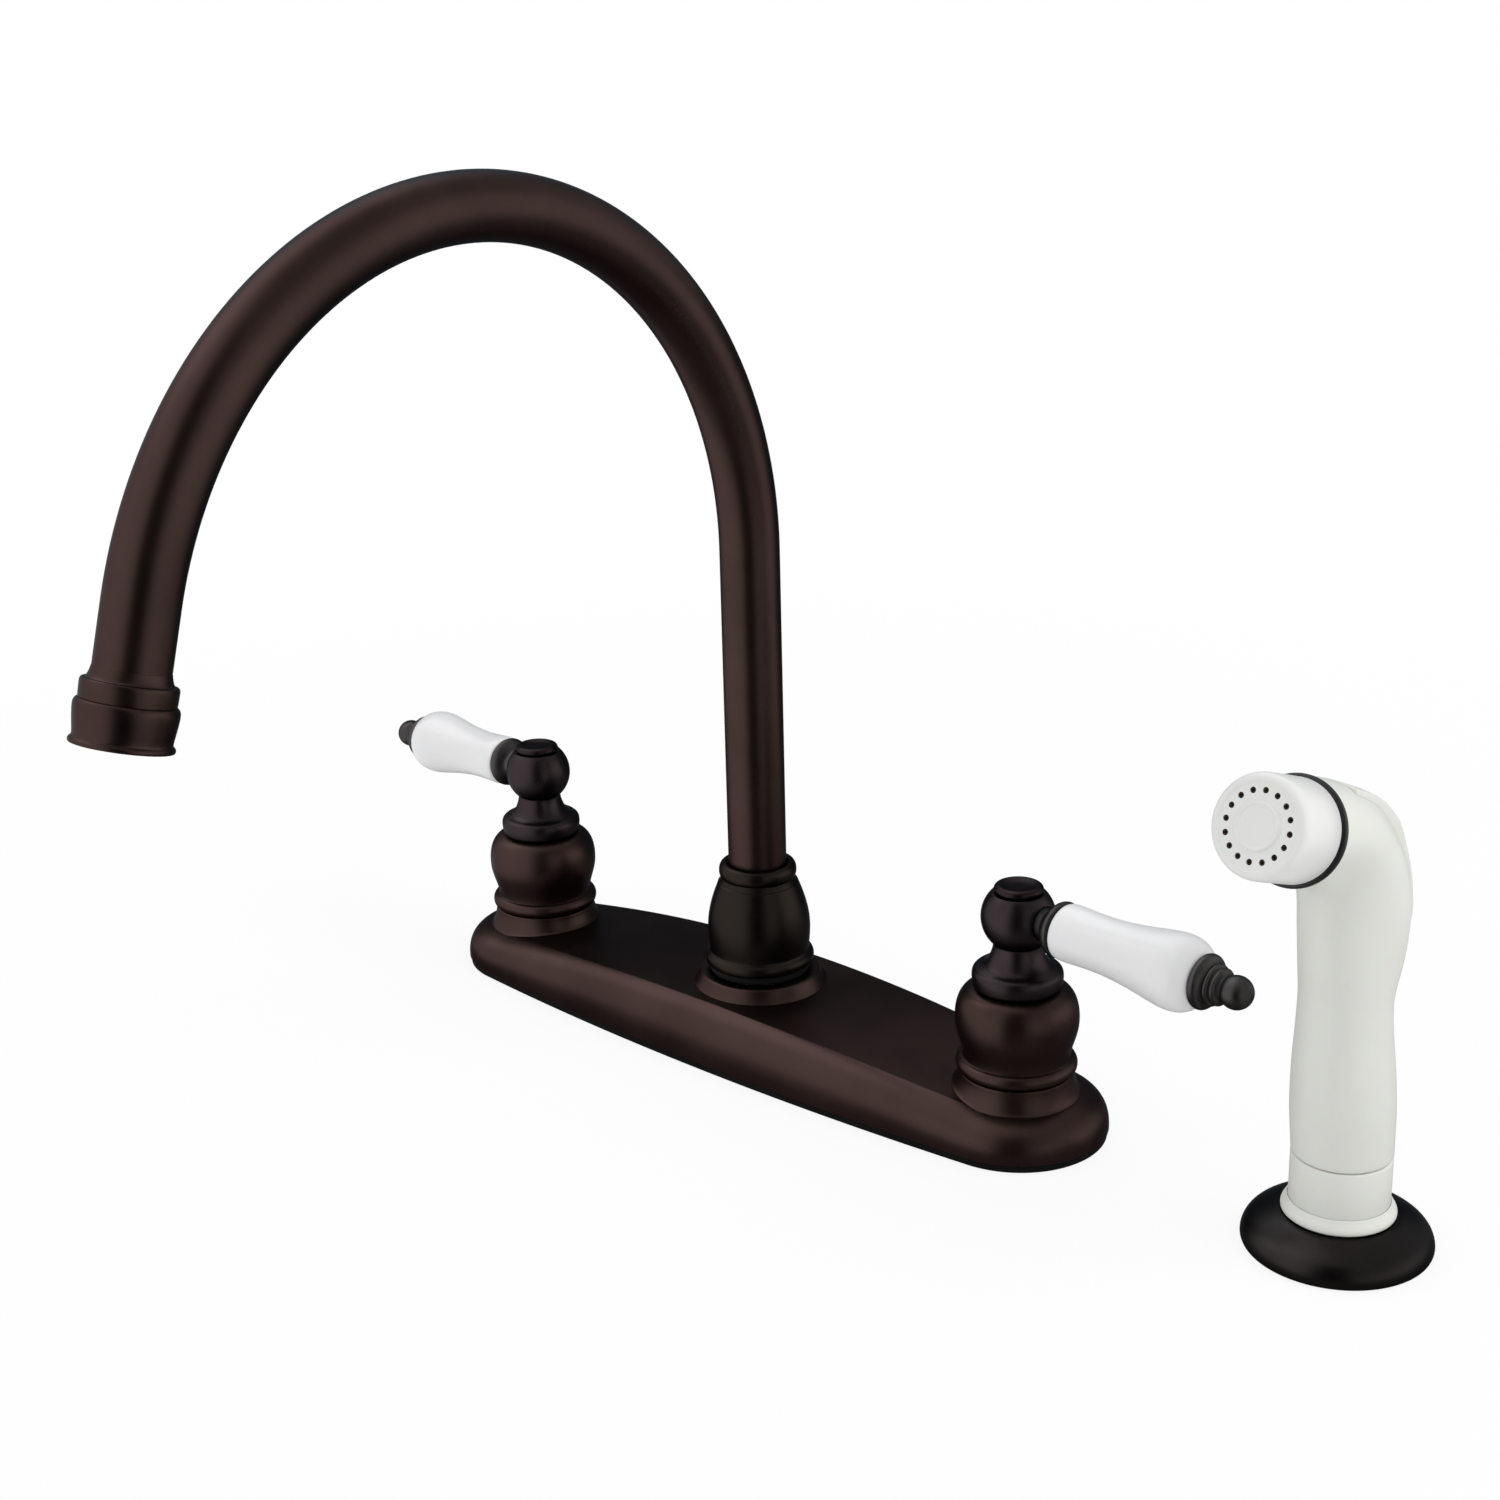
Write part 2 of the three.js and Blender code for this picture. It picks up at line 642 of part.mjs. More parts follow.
function bonnet() {
  const neck = CARTRIDGE_NECK_R + 0.4;
  return turn([
    [BONNET_Z, BONNET_BORE],
    [BONNET_Z, BONNET_BEAD_R - 1.0],
    [BONNET_Z + 1.2, BONNET_BEAD_R],
    [BONNET_Z + 2.8, BONNET_BEAD_R - 0.2],
    [BONNET_Z + 4.4, BONNET_WAIST_R],
    [BONNET_Z + 7.7, BONNET_WAIST_R + 0.6],
    [BONNET_Z + 11.4, BONNET_R - 0.4],
    [BONNET_Z + 15.4, BONNET_R],
    [BONNET_TOP - 6.2, BONNET_R - 0.45],
    [BONNET_TOP - 3.0, BONNET_R - 1.6],
    [BONNET_TOP - 1.0, BONNET_R - 3.6],
    [BONNET_TOP, BONNET_R - 5.9],
    [BONNET_TOP, neck],
    [BONNET_TOP - 1.8, neck],
    [BONNET_TOP - 5.7, BONNET_BORE - 0.2],
  ], SIDES, true);
}

const BALL_TOP = BALL_Z + Math.sqrt(BALL_R ** 2 - CAP_SEAT_R ** 2);

function handleHub() {
  const broach = STEM_R + SEAT;
  const seatZ = STEM_TOP + 1.2;
  const capSeat = CAP_Z - 3.2;
  const skirtTop = HUB_SKIRT_Z + 2.2;
  const arc = [-32, -8, 18].map((d) => [
    BALL_Z + BALL_R * Math.sin(rad(d)),
    BALL_R * Math.cos(rad(d)),
  ]);
  const body = turn([
    [HUB_SKIRT_Z, CARTRIDGE_NECK_R + 0.6],
    [HUB_SKIRT_Z, SKIRT_R - 1.1],
    [HUB_SKIRT_Z + 2.4, SKIRT_R - 0.1],
    [HUB_SKIRT_Z + 4.6, SKIRT_R - 0.1],
    [HUB_SKIRT_Z + 6.2, SKIRT_R - 2.0],
    [NECK_Z - 3.4, NECK_R + 1.2],
    [NECK_Z, NECK_R],
    ...arc,
    [BALL_TOP, CAP_SEAT_R],
    [BALL_TOP, CAP_PLUG_R + SEAT],
    [capSeat, CAP_PLUG_R + SEAT],
    [capSeat, SCREW_R + 0.5],
    [seatZ, SCREW_R + 0.5],
    [seatZ, broach],
    [skirtTop, broach],
    [skirtTop, CARTRIDGE_NECK_R + 0.6],
  ], SIDES, true);
  return body;
}

function indexCap() {
  const low = BALL_TOP + SEAT;
  return turn([
    [CAP_Z - 1.4, 0],
    [CAP_Z - 1.4, CAP_PLUG_R],
    [low, CAP_PLUG_R],
    [low, CAP_R],
    [low + CAP_T - 0.7, CAP_R - 0.1],
    [low + CAP_T, CAP_R - 1.2],
    [low + CAP_T, 4.6],
    [low + CAP_T - 0.4, 4.2],
    [low + CAP_T - 0.4, 0],
  ], LEVER_SIDES);
}

// Pieces of the lever are turned about their own axis, drawn along +Z.
function leverCollar() {
  const z1 = GRIP_START - SEAT;
  return turn([
    [BALL_R - COLLAR_IN, ROD_R + 0.2],
    [BALL_R - COLLAR_IN, COLLAR_NECK_R],
    [BALL_R + 1.0, COLLAR_NECK_R],
    [z1 - COLLAR_T, COLLAR_R - 0.4],
    [z1 - 0.5, COLLAR_R],
    [z1, COLLAR_R - 0.3],
    [z1, ROD_R + 0.2],
  ], LEVER_SIDES, true);
}

function leverGrip() {
  const l = GRIP_END - GRIP_START;
  const at = (t, r) => [GRIP_START + l * t, r];
  return turn([
    at(0, GRIP_BORE),
    at(0, GRIP_START_R - 0.7),
    at(0.04, GRIP_START_R),
    at(0.25, GRIP_WAIST_R),
    at(0.42, GRIP_WAIST_R + 0.4),
    at(0.62, GRIP_BELLY_R - 0.9),
    at(0.79, GRIP_BELLY_R),
    at(0.9, GRIP_BELLY_R - 0.8),
    at(1, GRIP_END_R),
    at(1, GRIP_BORE),
  ], LEVER_SIDES, true);
}

function leverFinial() {
  const z = GRIP_END + SEAT;
  const ball = FINIAL_TIP - FINIAL_BALL_R;
  return turn([
    [z, ROD_R + 0.2],
    [z, FINIAL_R - 0.6],
    [z + 1.3, FINIAL_R],
    [z + 2.7, FINIAL_R - 1.0],
    [z + 3.7, FINIAL_R - 2.3],
    [z + 4.6, FINIAL_R - 2.1],
    [z + 5.5, FINIAL_BALL_R],
    [z + 6.4, FINIAL_BALL_R + 0.5],
    [z + 7.6, FINIAL_BALL_R - 1.2],
    [ball, FINIAL_BALL_R],
    [ball + 2.8, FINIAL_BALL_R - 1.0],
    [FINIAL_TIP, 1.2],
    [FINIAL_TIP, 0],
    [z + ROD_IN, 0],
    [z + ROD_IN, ROD_R + 0.2],
  ], LEVER_SIDES, true);
}

const ROD_START = STEM_R + SEAT + 1.6;
const leverRod = () => rod(ROD_START, GRIP_END + ROD_IN, ROD_R - 0.1, 12);

VALVE_SIDES.forEach(([side, s]) => {
  const valve = new THREE.Group();
  valve.position.set(s * HALF_SPREAD, 0, 0);
  root.add(valve);
  add(valve, `${side}_seat_seal`, ring(SEAL_Z, SEAL_Z + SEAL_T, 4.4, DISC_R), material.rubber);
  add(valve, `${side}_fixed_disc`, valveDisc(FIXED_Z, 0), material.ceramic);
  add(valve, `${side}_cartridge_body`, cartridge(), material.brass);
  add(valve, `${side}_lock_nut`, lockNut(), material.brass);
  add(valve, `${side}_bonnet`, bonnet(), material.bronze);

  add(valve, `${side}_turning_disc`, valveDisc(MOVING_Z, Math.PI / 2), material.ceramic);
  add(valve, `${side}_stem`, stem(), material.brass);
  add(valve, `${side}_handle_screw`, turn([
    [STEM_TOP - 7, 0],
    [STEM_TOP - 7, SCREW_R - 0.1],
    [CAP_Z - 3.2 + SEAT, SCREW_R - 0.1],
    [CAP_Z - 3.2 + SEAT, SCREW_HEAD_R],
    [CAP_Z - 1.9, SCREW_HEAD_R],
    [CAP_Z - 1.9, 0],
  ], 10), material.steel);
  add(valve, `${side}_index_cap`, indexCap(), material.bronze);

  const handle = new THREE.Group();
  handle.position.set(0, 0, LEVER_Z);
  const turnDeg = side === 'hot' ? 180 - HOT_LEVER_DEG : COLD_LEVER_DEG;
  const droopDeg = side === 'hot' ? HOT_DROOP_DEG : COLD_DROOP_DEG;
  handle.rotation.set(0, rad(90 + droopDeg), rad(turnDeg), 'ZYX');
  valve.add(handle);
  const socket = rod(ROD_START - SEAT, BALL_R + 4, COLLAR_NECK_R + SEAT, LEVER_SIDES);
  handle.updateMatrix();
  socket.applyMatrix4(handle.matrix);
  add(valve, `${side}_handle_hub`, cut(handleHub(), socket), material.bronze);
  add(handle, `${side}_lever_collar`, leverCollar(), material.darkBronze);
  add(handle, `${side}_lever_grip`, leverGrip(), material.porcelain);
  add(handle, `${side}_lever_finial`, leverFinial(), material.darkBronze);
  add(handle, `${side}_lever_rod`, leverRod(), material.steel);
});

// ---------------------------------------------------------------- spout
const SHANK_FLANGE_Z = HUB_TOP + SEAT;
const TUBE_FOOT = SHANK_FLANGE_Z + SHANK_FLANGE_T + SEAT;

// One step up the riser, ARC_STEPS round the bend and one down the tail.
const GOOSENECK_STEPS = ARC_STEPS + 2;

class Gooseneck extends THREE.Curve {
  getPoint(t, target = new THREE.Vector3()) {
    const step = t * GOOSENECK_STEPS;
    if (step <= 1) return target.set(0, 0, TUBE_FOOT + step * (RISER_TOP - TUBE_FOOT));
    const a = rad(ARC_DEG) * Math.min(1, (step - 1) / ARC_STEPS);
    const past = TAIL * Math.max(0, step - 1 - ARC_STEPS);
    const out = ARC_R * (1 - Math.cos(a)) + past * Math.sin(a);
    const up = RISER_TOP + ARC_R * Math.sin(a) + past * Math.cos(a);
    return target.set(0, -out, up);
  }

  getUtoTmapping(u) {
    return u;
  }
}

// Tube swept along the gooseneck; the bore is part of the section.
function sweepTube(curve, outer, inner, steps, sides) {
  const shape = new THREE.Shape(circlePoints(outer, sides));
  shape.holes = [new THREE.Path(circlePoints(inner, sides))];
  return new THREE.ExtrudeGeometry(shape, { steps, bevelEnabled: false, extrudePath: curve });
}

const spout = new THREE.Group();
spout.rotation.z = rad(SPOUT_REST_DEG);
root.add(spout);

const neckTube = sweepTube(new Gooseneck(), TUBE_R, TUBE_R - TUBE_WALL, GOOSENECK_STEPS, TUBE_SIDES);
add(spout, 'spout_tube', neckTube, material.bronze);

const ORING_HIGH_Z = ORING_LOW_Z + ORING_PITCH;
const groove = (z) => [
  [z - ORING_GROOVE_H / 2, SWIVEL_R],
  [z - ORING_GROOVE_H / 2, ORING_GROOVE_R],
  [z + ORING_GROOVE_H / 2, ORING_GROOVE_R],
  [z + ORING_GROOVE_H / 2, SWIVEL_R],
];
add(spout, 'spout_swivel_shank', turn([
  [HUB_FLOOR + SEAT, SWIVEL_BORE],
  [HUB_FLOOR + SEAT, SWIVEL_R],
  ...groove(ORING_LOW_Z),
  ...groove(ORING_HIGH_Z),
  [SHANK_FLANGE_Z, SWIVEL_R],
  [SHANK_FLANGE_Z, SHANK_FLANGE_R],
  [SHANK_FLANGE_Z + SHANK_FLANGE_T, SHANK_FLANGE_R],
  [SHANK_FLANGE_Z + SHANK_FLANGE_T, SPIGOT_R],
  [SPIGOT_TOP, SPIGOT_R],
  [SPIGOT_TOP, SWIVEL_BORE],
], INNER_SIDES, true), material.brass);

const oring = (z) => turn(
  circlePoints(ORING_T / 2, 5).map((p) => [z + p.y, ORING_GROOVE_R + 0.22 + ORING_T / 2 + p.x]),
  INNER_SIDES,
  true,
);
add(spout, 'spout_lower_oring', oring(ORING_LOW_Z), material.rubber);
add(spout, 'spout_upper_oring', oring(ORING_HIGH_Z), material.rubber);

const FRICTION_Z = TUBE_FOOT;
add(spout, 'spout_friction_ring', ring(
  FRICTION_Z,
  FRICTION_Z + FRICTION_RING_T,
  TUBE_R + SEAT,
  SHANK_FLANGE_R + 0.4,
  TUBE_SIDES,
), material.nylon);
add(root, 'spout_foot_washer', ring(
  SPOUT_BOSS_TOP + SEAT,
  NUT_FOOT_Z - SEAT,
  HUB_THREAD_R + SEAT,
  FOOT_WASHER_R,
  SIDES,
), material.blackPlastic);

const NUT_SHOULDER = FRICTION_Z + FRICTION_RING_T + SEAT;
add(root, 'spout_nut', turn([
  [NUT_FOOT_Z, HUB_THREAD_R + SEAT],
  [NUT_FOOT_Z, NUT_FOOT_R - 0.4],
  [NUT_FOOT_Z + 1.0, NUT_FOOT_R],
  [NUT_FOOT_Z + 2.5, NUT_FOOT_R - 0.2],
  [NUT_FOOT_Z + 4.2, NUT_BULB_R - 0.5],
  [NUT_FOOT_Z + 10, NUT_BULB_R],
  [NUT_TOP - 18.6, NUT_BULB_R - 0.35],
  [NUT_TOP - 14.4, NUT_BULB_R - 1.15],
  [NUT_TOP - 10.4, NUT_BULB_R - 2.3],
  [NUT_TOP - 5.0, NUT_BEAD_R - 0.6],
  [NUT_TOP - 3.6, NUT_BEAD_R],
  [NUT_TOP - 1.2, NUT_BEAD_R - 0.3],
  [NUT_TOP, NUT_BEAD_R - 1.5],
  [NUT_TOP, TUBE_R + SEAT],
  [NUT_SHOULDER, TUBE_R + SEAT],
  [NUT_SHOULDER, HUB_THREAD_R + SEAT],
], SIDES, true), material.bronze);

// Outlet pieces are turned about the tube's end, with +Z of their group
// running down the stream and zero at the end of the arc.
const outlet = new THREE.Group();
outlet.position.set(
  0,
  -ARC_R * (1 - Math.cos(rad(ARC_DEG))),
  RISER_TOP + ARC_R * Math.sin(rad(ARC_DEG)),
);
outlet.rotation.x = rad(ARC_DEG);
spout.add(outlet);

add(outlet, 'spout_end_collar', turn([
  [OUT_COLLAR_S - 2.6, TUBE_R + SEAT],
  [OUT_COLLAR_S - 2.6, TUBE_R + 0.55],
  [OUT_COLLAR_S - 0.6, TUBE_R + 1.0],
  [OUT_COLLAR_S, OUT_COLLAR_R - 0.5],
  [OUT_COLLAR_S + 1.2, OUT_COLLAR_R],
  [OUT_SHELL_S - SEAT, OUT_COLLAR_R],
  [OUT_SHELL_S - SEAT, OUT_THREAD_R],
  [OUT_THREAD_END, OUT_THREAD_R],
  [OUT_THREAD_END, TUBE_R - TUBE_WALL],
  [TAIL + SEAT, TUBE_R - TUBE_WALL],
  [TAIL + SEAT, TUBE_R + SEAT],
], SIDES, true), material.bronze);

const AERATOR_WASHER_S = OUT_THREAD_END + SEAT;
const AERATOR_S = AERATOR_WASHER_S + AERATOR_WASHER_T + SEAT;
const AERATOR_END = AERATOR_S + AERATOR_T;
add(outlet, 'aerator_shell', turn([
  [OUT_SHELL_S, OUT_THREAD_R + SEAT],
  [OUT_SHELL_S, OUT_SHELL_R - 0.9],
  [OUT_SHELL_S + 1.6, OUT_SHELL_R],
  [OUT_END_S - 2.0, OUT_SHELL_R - 0.7],
  [OUT_END_S - 1.2, OUT_LIP_R],
  [OUT_END_S - 0.4, OUT_LIP_R],
  [OUT_END_S, OUT_LIP_R - 0.5],
  [OUT_END_S, OUT_THREAD_R - 1.0],
  [AERATOR_END + SEAT, OUT_THREAD_R - 1.0],
  [AERATOR_END + SEAT, OUT_THREAD_R + SEAT],
], SIDES, true), material.bronze);
add(outlet, 'aerator_washer', ring(
  AERATOR_WASHER_S,
  AERATOR_WASHER_S + AERATOR_WASHER_T,
  TUBE_R - TUBE_WALL,
  OUT_THREAD_R - SEAT,
), material.rubber);
const aeratorHoles = [];
for (let i = 0; i < 8; i += 1) {
  const a = (Math.PI * i) / 4;
  aeratorHoles.push(circlePoints(1.5, 5).map((p) => p.add(new THREE.Vector2(6.6 * Math.cos(a), 6.6 * Math.sin(a)))));
}
for (let i = 0; i < 4; i += 1) {
  const a = (Math.PI * i) / 2;
  aeratorHoles.push(circlePoints(1.3, 5).map((p) => p.add(new THREE.Vector2(2.8 * Math.cos(a), 2.8 * Math.sin(a)))));
}
add(outlet, 'aerator_insert', slab(
  circlePoints(OUT_THREAD_R - SEAT, INNER_SIDES),
  AERATOR_S,
  AERATOR_END,
  aeratorHoles,
), material.nylon);

// ---------------------------------------------------------------- side spray
const spray = new THREE.Group();
spray.position.set(SPRAY_X, SPRAY_Y, 0);
root.add(spray);

add(spray, 'spray_flange', turn([
  [0, FLANGE_R - 3],
  [0, FLANGE_R - 0.7],
  [1.4, FLANGE_R],
  [3.6, FLANGE_R - 0.5],
  [6.0, FLANGE_R - 2.5],
  [8.0, FLANGE_R - 5.4],
  [9.2, FLANGE_R - 8.0],
  [FLANGE_TOP, FLANGE_R - 10.2],
  [FLANGE_TOP, FLANGE_BORE],
  [FLANGE_TOP - 2.2, FLANGE_BORE],
  [FLANGE_TOP - 4.4, FLANGE_R - 5.5],
], SIDES, true), material.bronze);

const GUIDE_RIM_Z = FLANGE_TOP + SEAT;
add(spray, 'spray_guide', turn([
  [GUIDE_END, GUIDE_BORE],
  [GUIDE_END, GUIDE_R],
  [GUIDE_RIM_Z, GUIDE_R],
  [GUIDE_RIM_Z, GUIDE_RIM_R - 0.3],
  [GUIDE_RIM_Z + 0.9, GUIDE_RIM_R],
  [GUIDE_RIM_Z + 2.2, GUIDE_RIM_R - 0.6],
  [GUIDE_RIM_TOP, GUIDE_R - 0.2],
  [GUIDE_RIM_TOP, GUIDE_BORE + 1.2],
  [GUIDE_RIM_TOP - 4, GUIDE_BORE],
], SIDES, true), material.whitePlastic);
add(spray, 'spray_guide_nut', slab(
  circlePoints(GUIDE_NUT_R, 8),
  -DECK_GAP - GUIDE_NUT_T,
  -DECK_GAP,
  [circlePoints(GUIDE_R + SEAT, SIDES)],
), material.nylon);

const handset = new THREE.Group();
handset.rotation.z = rad(SPRAY_HEADING_DEG);
spray.add(handset);

const COUPLING_Z = GUIDE_RIM_TOP + SEAT;
const BODY_Z = COUPLING_TOP + SEAT;
add(handset, 'spray_coupling', turn([
  [COUPLING_TAIL_END, 4.5],
  [COUPLING_TAIL_END, COUPLING_TAIL_R - 2],
  [COUPLING_TAIL_END + 2, COUPLING_TAIL_R - 0.2],
  [COUPLING_Z, COUPLING_TAIL_R],
  [COUPLING_Z, COUPLING_R],
  [COUPLING_TOP - 0.6, COUPLING_R],
  [COUPLING_TOP, COUPLING_R - 0.5],
  [COUPLING_TOP, BODY_SPIGOT_R + SEAT],
  [COUPLING_TOP - 9, BODY_SPIGOT_R + SEAT],
  [COUPLING_TOP - 9, 4.5],
], SIDES, true), material.whitePlastic);

// Handle and head: oval sections carried along a bending spine.
// Each row is [forward, up, tilt, half width, half depth].
const HEAD_TURN = 90 - HEAD_TILT_DEG;
const THROAT = 1.15; // the shell stops this far behind the ring's middle
const HANDLE_L = 66.6; // from the coupling's seam to where the head begins to bend
const HANDLE_LEAN = 3.2; // how far the handle leans forward at its waist
const NECK_BACK = 35.3; // the bend's first section, back along the head's axis
const NECK_DROP = 11.1; // and below that axis
const headRow = (back, drop, tilt, half, depth) => [
  HEAD_REACH - back * Math.sin(rad(HEAD_TURN)) + drop * Math.cos(rad(HEAD_TURN)),
  HEAD_Z - back * Math.cos(rad(HEAD_TURN)) - drop * Math.sin(rad(HEAD_TURN)),
  tilt,
  half,
  depth,
];
const spine = [
  [0, BODY_Z, 0, COUPLING_R - 0.5, COUPLING_R - 0.5],
  [0, BODY_Z + 0.6, 0, COUPLING_R, COUPLING_R],
  [0.375 * HANDLE_LEAN, BODY_Z + 0.21 * HANDLE_L, 0, COUPLING_R + 0.35, COUPLING_R + 0.35],
  [0.906 * HANDLE_LEAN, BODY_Z + 0.54 * HANDLE_L, 0, COUPLING_R - 0.9, COUPLING_R - 0.7],
  [HANDLE_LEAN, BODY_Z + 0.69 * HANDLE_L, 0, COUPLING_R - 1.2, COUPLING_R - 0.9],
  [0.625 * HANDLE_LEAN, BODY_Z + 0.826 * HANDLE_L, 0, COUPLING_R - 0.7, COUPLING_R + 1.3],
  [0.485 * HANDLE_LEAN, BODY_Z + HANDLE_L, 8, COUPLING_R, HEAD_R + 2.4],
  headRow(NECK_BACK, NECK_DROP, 16.8, HEAD_R - 0.4, HEAD_R + 1.8),
  headRow(0.782 * NECK_BACK, 0.37 * NECK_DROP, 31.7, HEAD_R - 0.7, HEAD_R),
  headRow(0.493 * NECK_BACK, -0.009 * NECK_DROP, 49.9, HEAD_R - 0.5, HEAD_R - 0.6),
  headRow(0.221 * NECK_BACK, -0.081 * NECK_DROP, 62.8, HEAD_R - 0.1, HEAD_R - 0.1),
  headRow(THROAT, 0, HEAD_TURN, HEAD_R, HEAD_R),
];
const BODY_SIDES = 16;

function ovalRing([forward, up, tilt, a, b]) {
  return Array.from({ length: BODY_SIDES }, (_, i) => {
    const t = (2 * Math.PI * i) / BODY_SIDES;
    const x = a * Math.cos(t);
    const d = b * Math.sin(t);
    return new THREE.Vector3(x, -forward + d * Math.cos(rad(tilt)), up + d * Math.sin(rad(tilt)));
  });
}

const sprayShell = loft(spine.map(ovalRing));

// Trigger: a thin plate that follows the back of the head and handle.
// Each row is [share of its reach, share of its fall] of the outer face,
// from the top end down, in the plane of symmetry.
const TRIGGER_TOP = 137.3;
const TRIGGER_FALL = 46.3;
const TRIGGER_FRONT = 18; // its top end lies this far ahead of the handle's axis
const TRIGGER_REACH = 33.8;
const TRIGGER_END = TRIGGER_TOP - TRIGGER_FALL;
const triggerLine = [
  [0, 0],
  [0.281, 0.11],
  [0.527, 0.242],
  [0.695, 0.363],
  [0.825, 0.542],
  [0.932, 0.711],
  [1, 0.924],
  [0.985, 1],
].map(([reach, fall]) => [
  reach * TRIGGER_REACH - TRIGGER_FRONT,
  TRIGGER_TOP - fall * TRIGGER_FALL,
]);
const PIVOT = [LUG_R - TRIGGER_FRONT, TRIGGER_TOP - 0.11 * TRIGGER_FALL];

// Where the outer face of the trigger lies at a given height.
function triggerBack(z) {
  const i = triggerLine.findIndex((p, k) => k > 0 && p[1] <= z);
  const [a, b] = [triggerLine[i - 1], triggerLine[i]];
  return a[0] + ((b[0] - a[0]) * (z - a[1])) / (b[1] - a[1]);
}

function plateAlong(line, inner, outer, width) {
  const shapePoints = [];
  const normal = (i) => {
    const a = line[Math.max(0, i - 1)];
    const b = line[Math.min(line.length - 1, i + 1)];
    const d = new THREE.Vector2(b[0] - a[0], b[1] - a[1]).normalize();
    return new THREE.Vector2(-d.y, d.x);
  };
  line.forEach(([y, z], i) => {
    const n = normal(i);
    shapePoints.push(new THREE.Vector2(y + n.x * outer, z + n.y * outer));
  });
  [...line].reverse().forEach(([y, z], k) => {
    const n = normal(line.length - 1 - k);
    shapePoints.push(new THREE.Vector2(y - n.x * inner, z - n.y * inner));
  });
  const g = new THREE.ExtrudeGeometry(new THREE.Shape(shapePoints), { depth: width, bevelEnabled: false });
  g.translate(0, 0, -width / 2);
  return g.applyMatrix4(new THREE.Matrix4().makeBasis(
    new THREE.Vector3(0, 1, 0),
    new THREE.Vector3(0, 0, 1),
    new THREE.Vector3(1, 0, 0),
  ));
}

const pocketLine = triggerLine.slice();
pocketLine[0] = [pocketLine[0][0] - 0.6, pocketLine[0][1] + 0.3];
pocketLine.push([triggerLine.at(-1)[0] - 0.6, TRIGGER_END - 5]);
const triggerPocket = plateAlong(pocketLine, TRIGGER_T + TRIGGER_GAP, 6, TRIGGER_W + 1.2);
const acrossX = (half, r, sides) => rod(-half, half, r, sides).rotateY(Math.PI / 2)
  .translate(0, PIVOT[0], PIVOT[1]);
const plungerEnd = triggerBack(PLUNGER_Z) - TRIGGER_T - 0.9;
const alongY = (z0, z1, r, sides) => rod(z0, z1, r, sides).rotateX(-Math.PI / 2);
const plungerBore = alongY(-8, plungerEnd + 4, PLUNGER_R + 0.4, 10).translate(0, 0, PLUNGER_Z);
const spigotFoot = COUPLING_TOP - 8.5;
const spigot = rod(spigotFoot, BODY_Z + 2, BODY_SPIGOT_R, INNER_SIDES);
const riserBore = rod(spigotFoot - 1, PLUNGER_Z, WATER_R, 8);
const headDrop = Math.hypot(HEAD_REACH - 4, HEAD_Z - PLUNGER_Z);
const headBore = rod(0, headDrop, WATER_R, 8)
  .rotateX(Math.atan2(HEAD_REACH - 4, HEAD_Z - PLUNGER_Z))
  .translate(0, -4, PLUNGER_Z);
add(handset, 'spray_body', cut(
  join(sprayShell, spigot),
  triggerPocket,
  plungerBore,
  riserBore,
  headBore,
  acrossX(PIN_HALF + SEAT, PIN_R + SEAT, 10),
), material.whitePlastic);

const trigger = join(
  plateAlong(triggerLine, TRIGGER_T, 0, TRIGGER_W),
  acrossX(TRIGGER_W / 2, LUG_R, 10),
);
add(handset, 'spray_trigger', cut(trigger, acrossX(TRIGGER_W, PIN_R + SEAT, 8)), material.whitePlastic);
add(handset, 'spray_trigger_pin', acrossX(PIN_HALF, PIN_R, 8), material.steel);
add(handset, 'spray_plunger', alongY(-4, plungerEnd, PLUNGER_R, 10).translate(0, 0, PLUNGER_Z), material.nylon);

// Nozzle: pieces drawn along +Z of a group that looks out of the head.
const head = new THREE.Group();
head.position.set(0, -HEAD_REACH, HEAD_Z);
head.rotation.x = rad(HEAD_TURN);
handset.add(head);

add(head, 'spray_ring', ring(-RING_T / 2, RING_T / 2, HEAD_R - 4, RING_R, SIDES), material.blackPlastic);
const nozzleZ = RING_T / 2 + SEAT;
const nozzleBody = turn([
  [nozzleZ, NOZZLE_R - 2],
  [nozzleZ, NOZZLE_R],
  [nozzleZ + NOZZLE_L - 3, NOZZLE_R],
  [nozzleZ + NOZZLE_L - 1.2, NOZZLE_R - 0.5],
  [nozzleZ + NOZZLE_L, NOZZLE_FACE_R],
  [nozzleZ + NOZZLE_L, NOZZLE_DISC_R + 0.8],
  [nozzleZ + NOZZLE_L + 0.5, NOZZLE_DISC_R],
  [nozzleZ + NOZZLE_L + 0.5, 0],
  [nozzleZ + NOZZLE_L - 2.5, 0],
  [nozzleZ + NOZZLE_L - 2.5, NOZZLE_R - 2],
], SIDES, true);
const nozzleHoles = Array.from({ length: NOZZLE_HOLES }, (_, i) => {
  const a = (2 * Math.PI * (i + 0.5)) / NOZZLE_HOLES;
  return rod(nozzleZ + NOZZLE_L - 4, nozzleZ + NOZZLE_L + 1, NOZZLE_HOLE_R, 4)
    .translate(NOZZLE_PCR * Math.cos(a), NOZZLE_PCR * Math.sin(a), 0);
});
add(head, 'spray_nozzle', cut(nozzleBody, ...nozzleHoles), material.whitePlastic);

const group = root;
export default group;
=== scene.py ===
"""Two handle kitchen faucet with a high arc spout and a side spray.

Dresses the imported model: turned bronze pieces, a cast deck plate with its
flares, glazed porcelain grips, a bent spout tube and a moulded spray.
Sizes in the profiles are millimetres; the scene itself is in metres.
"""

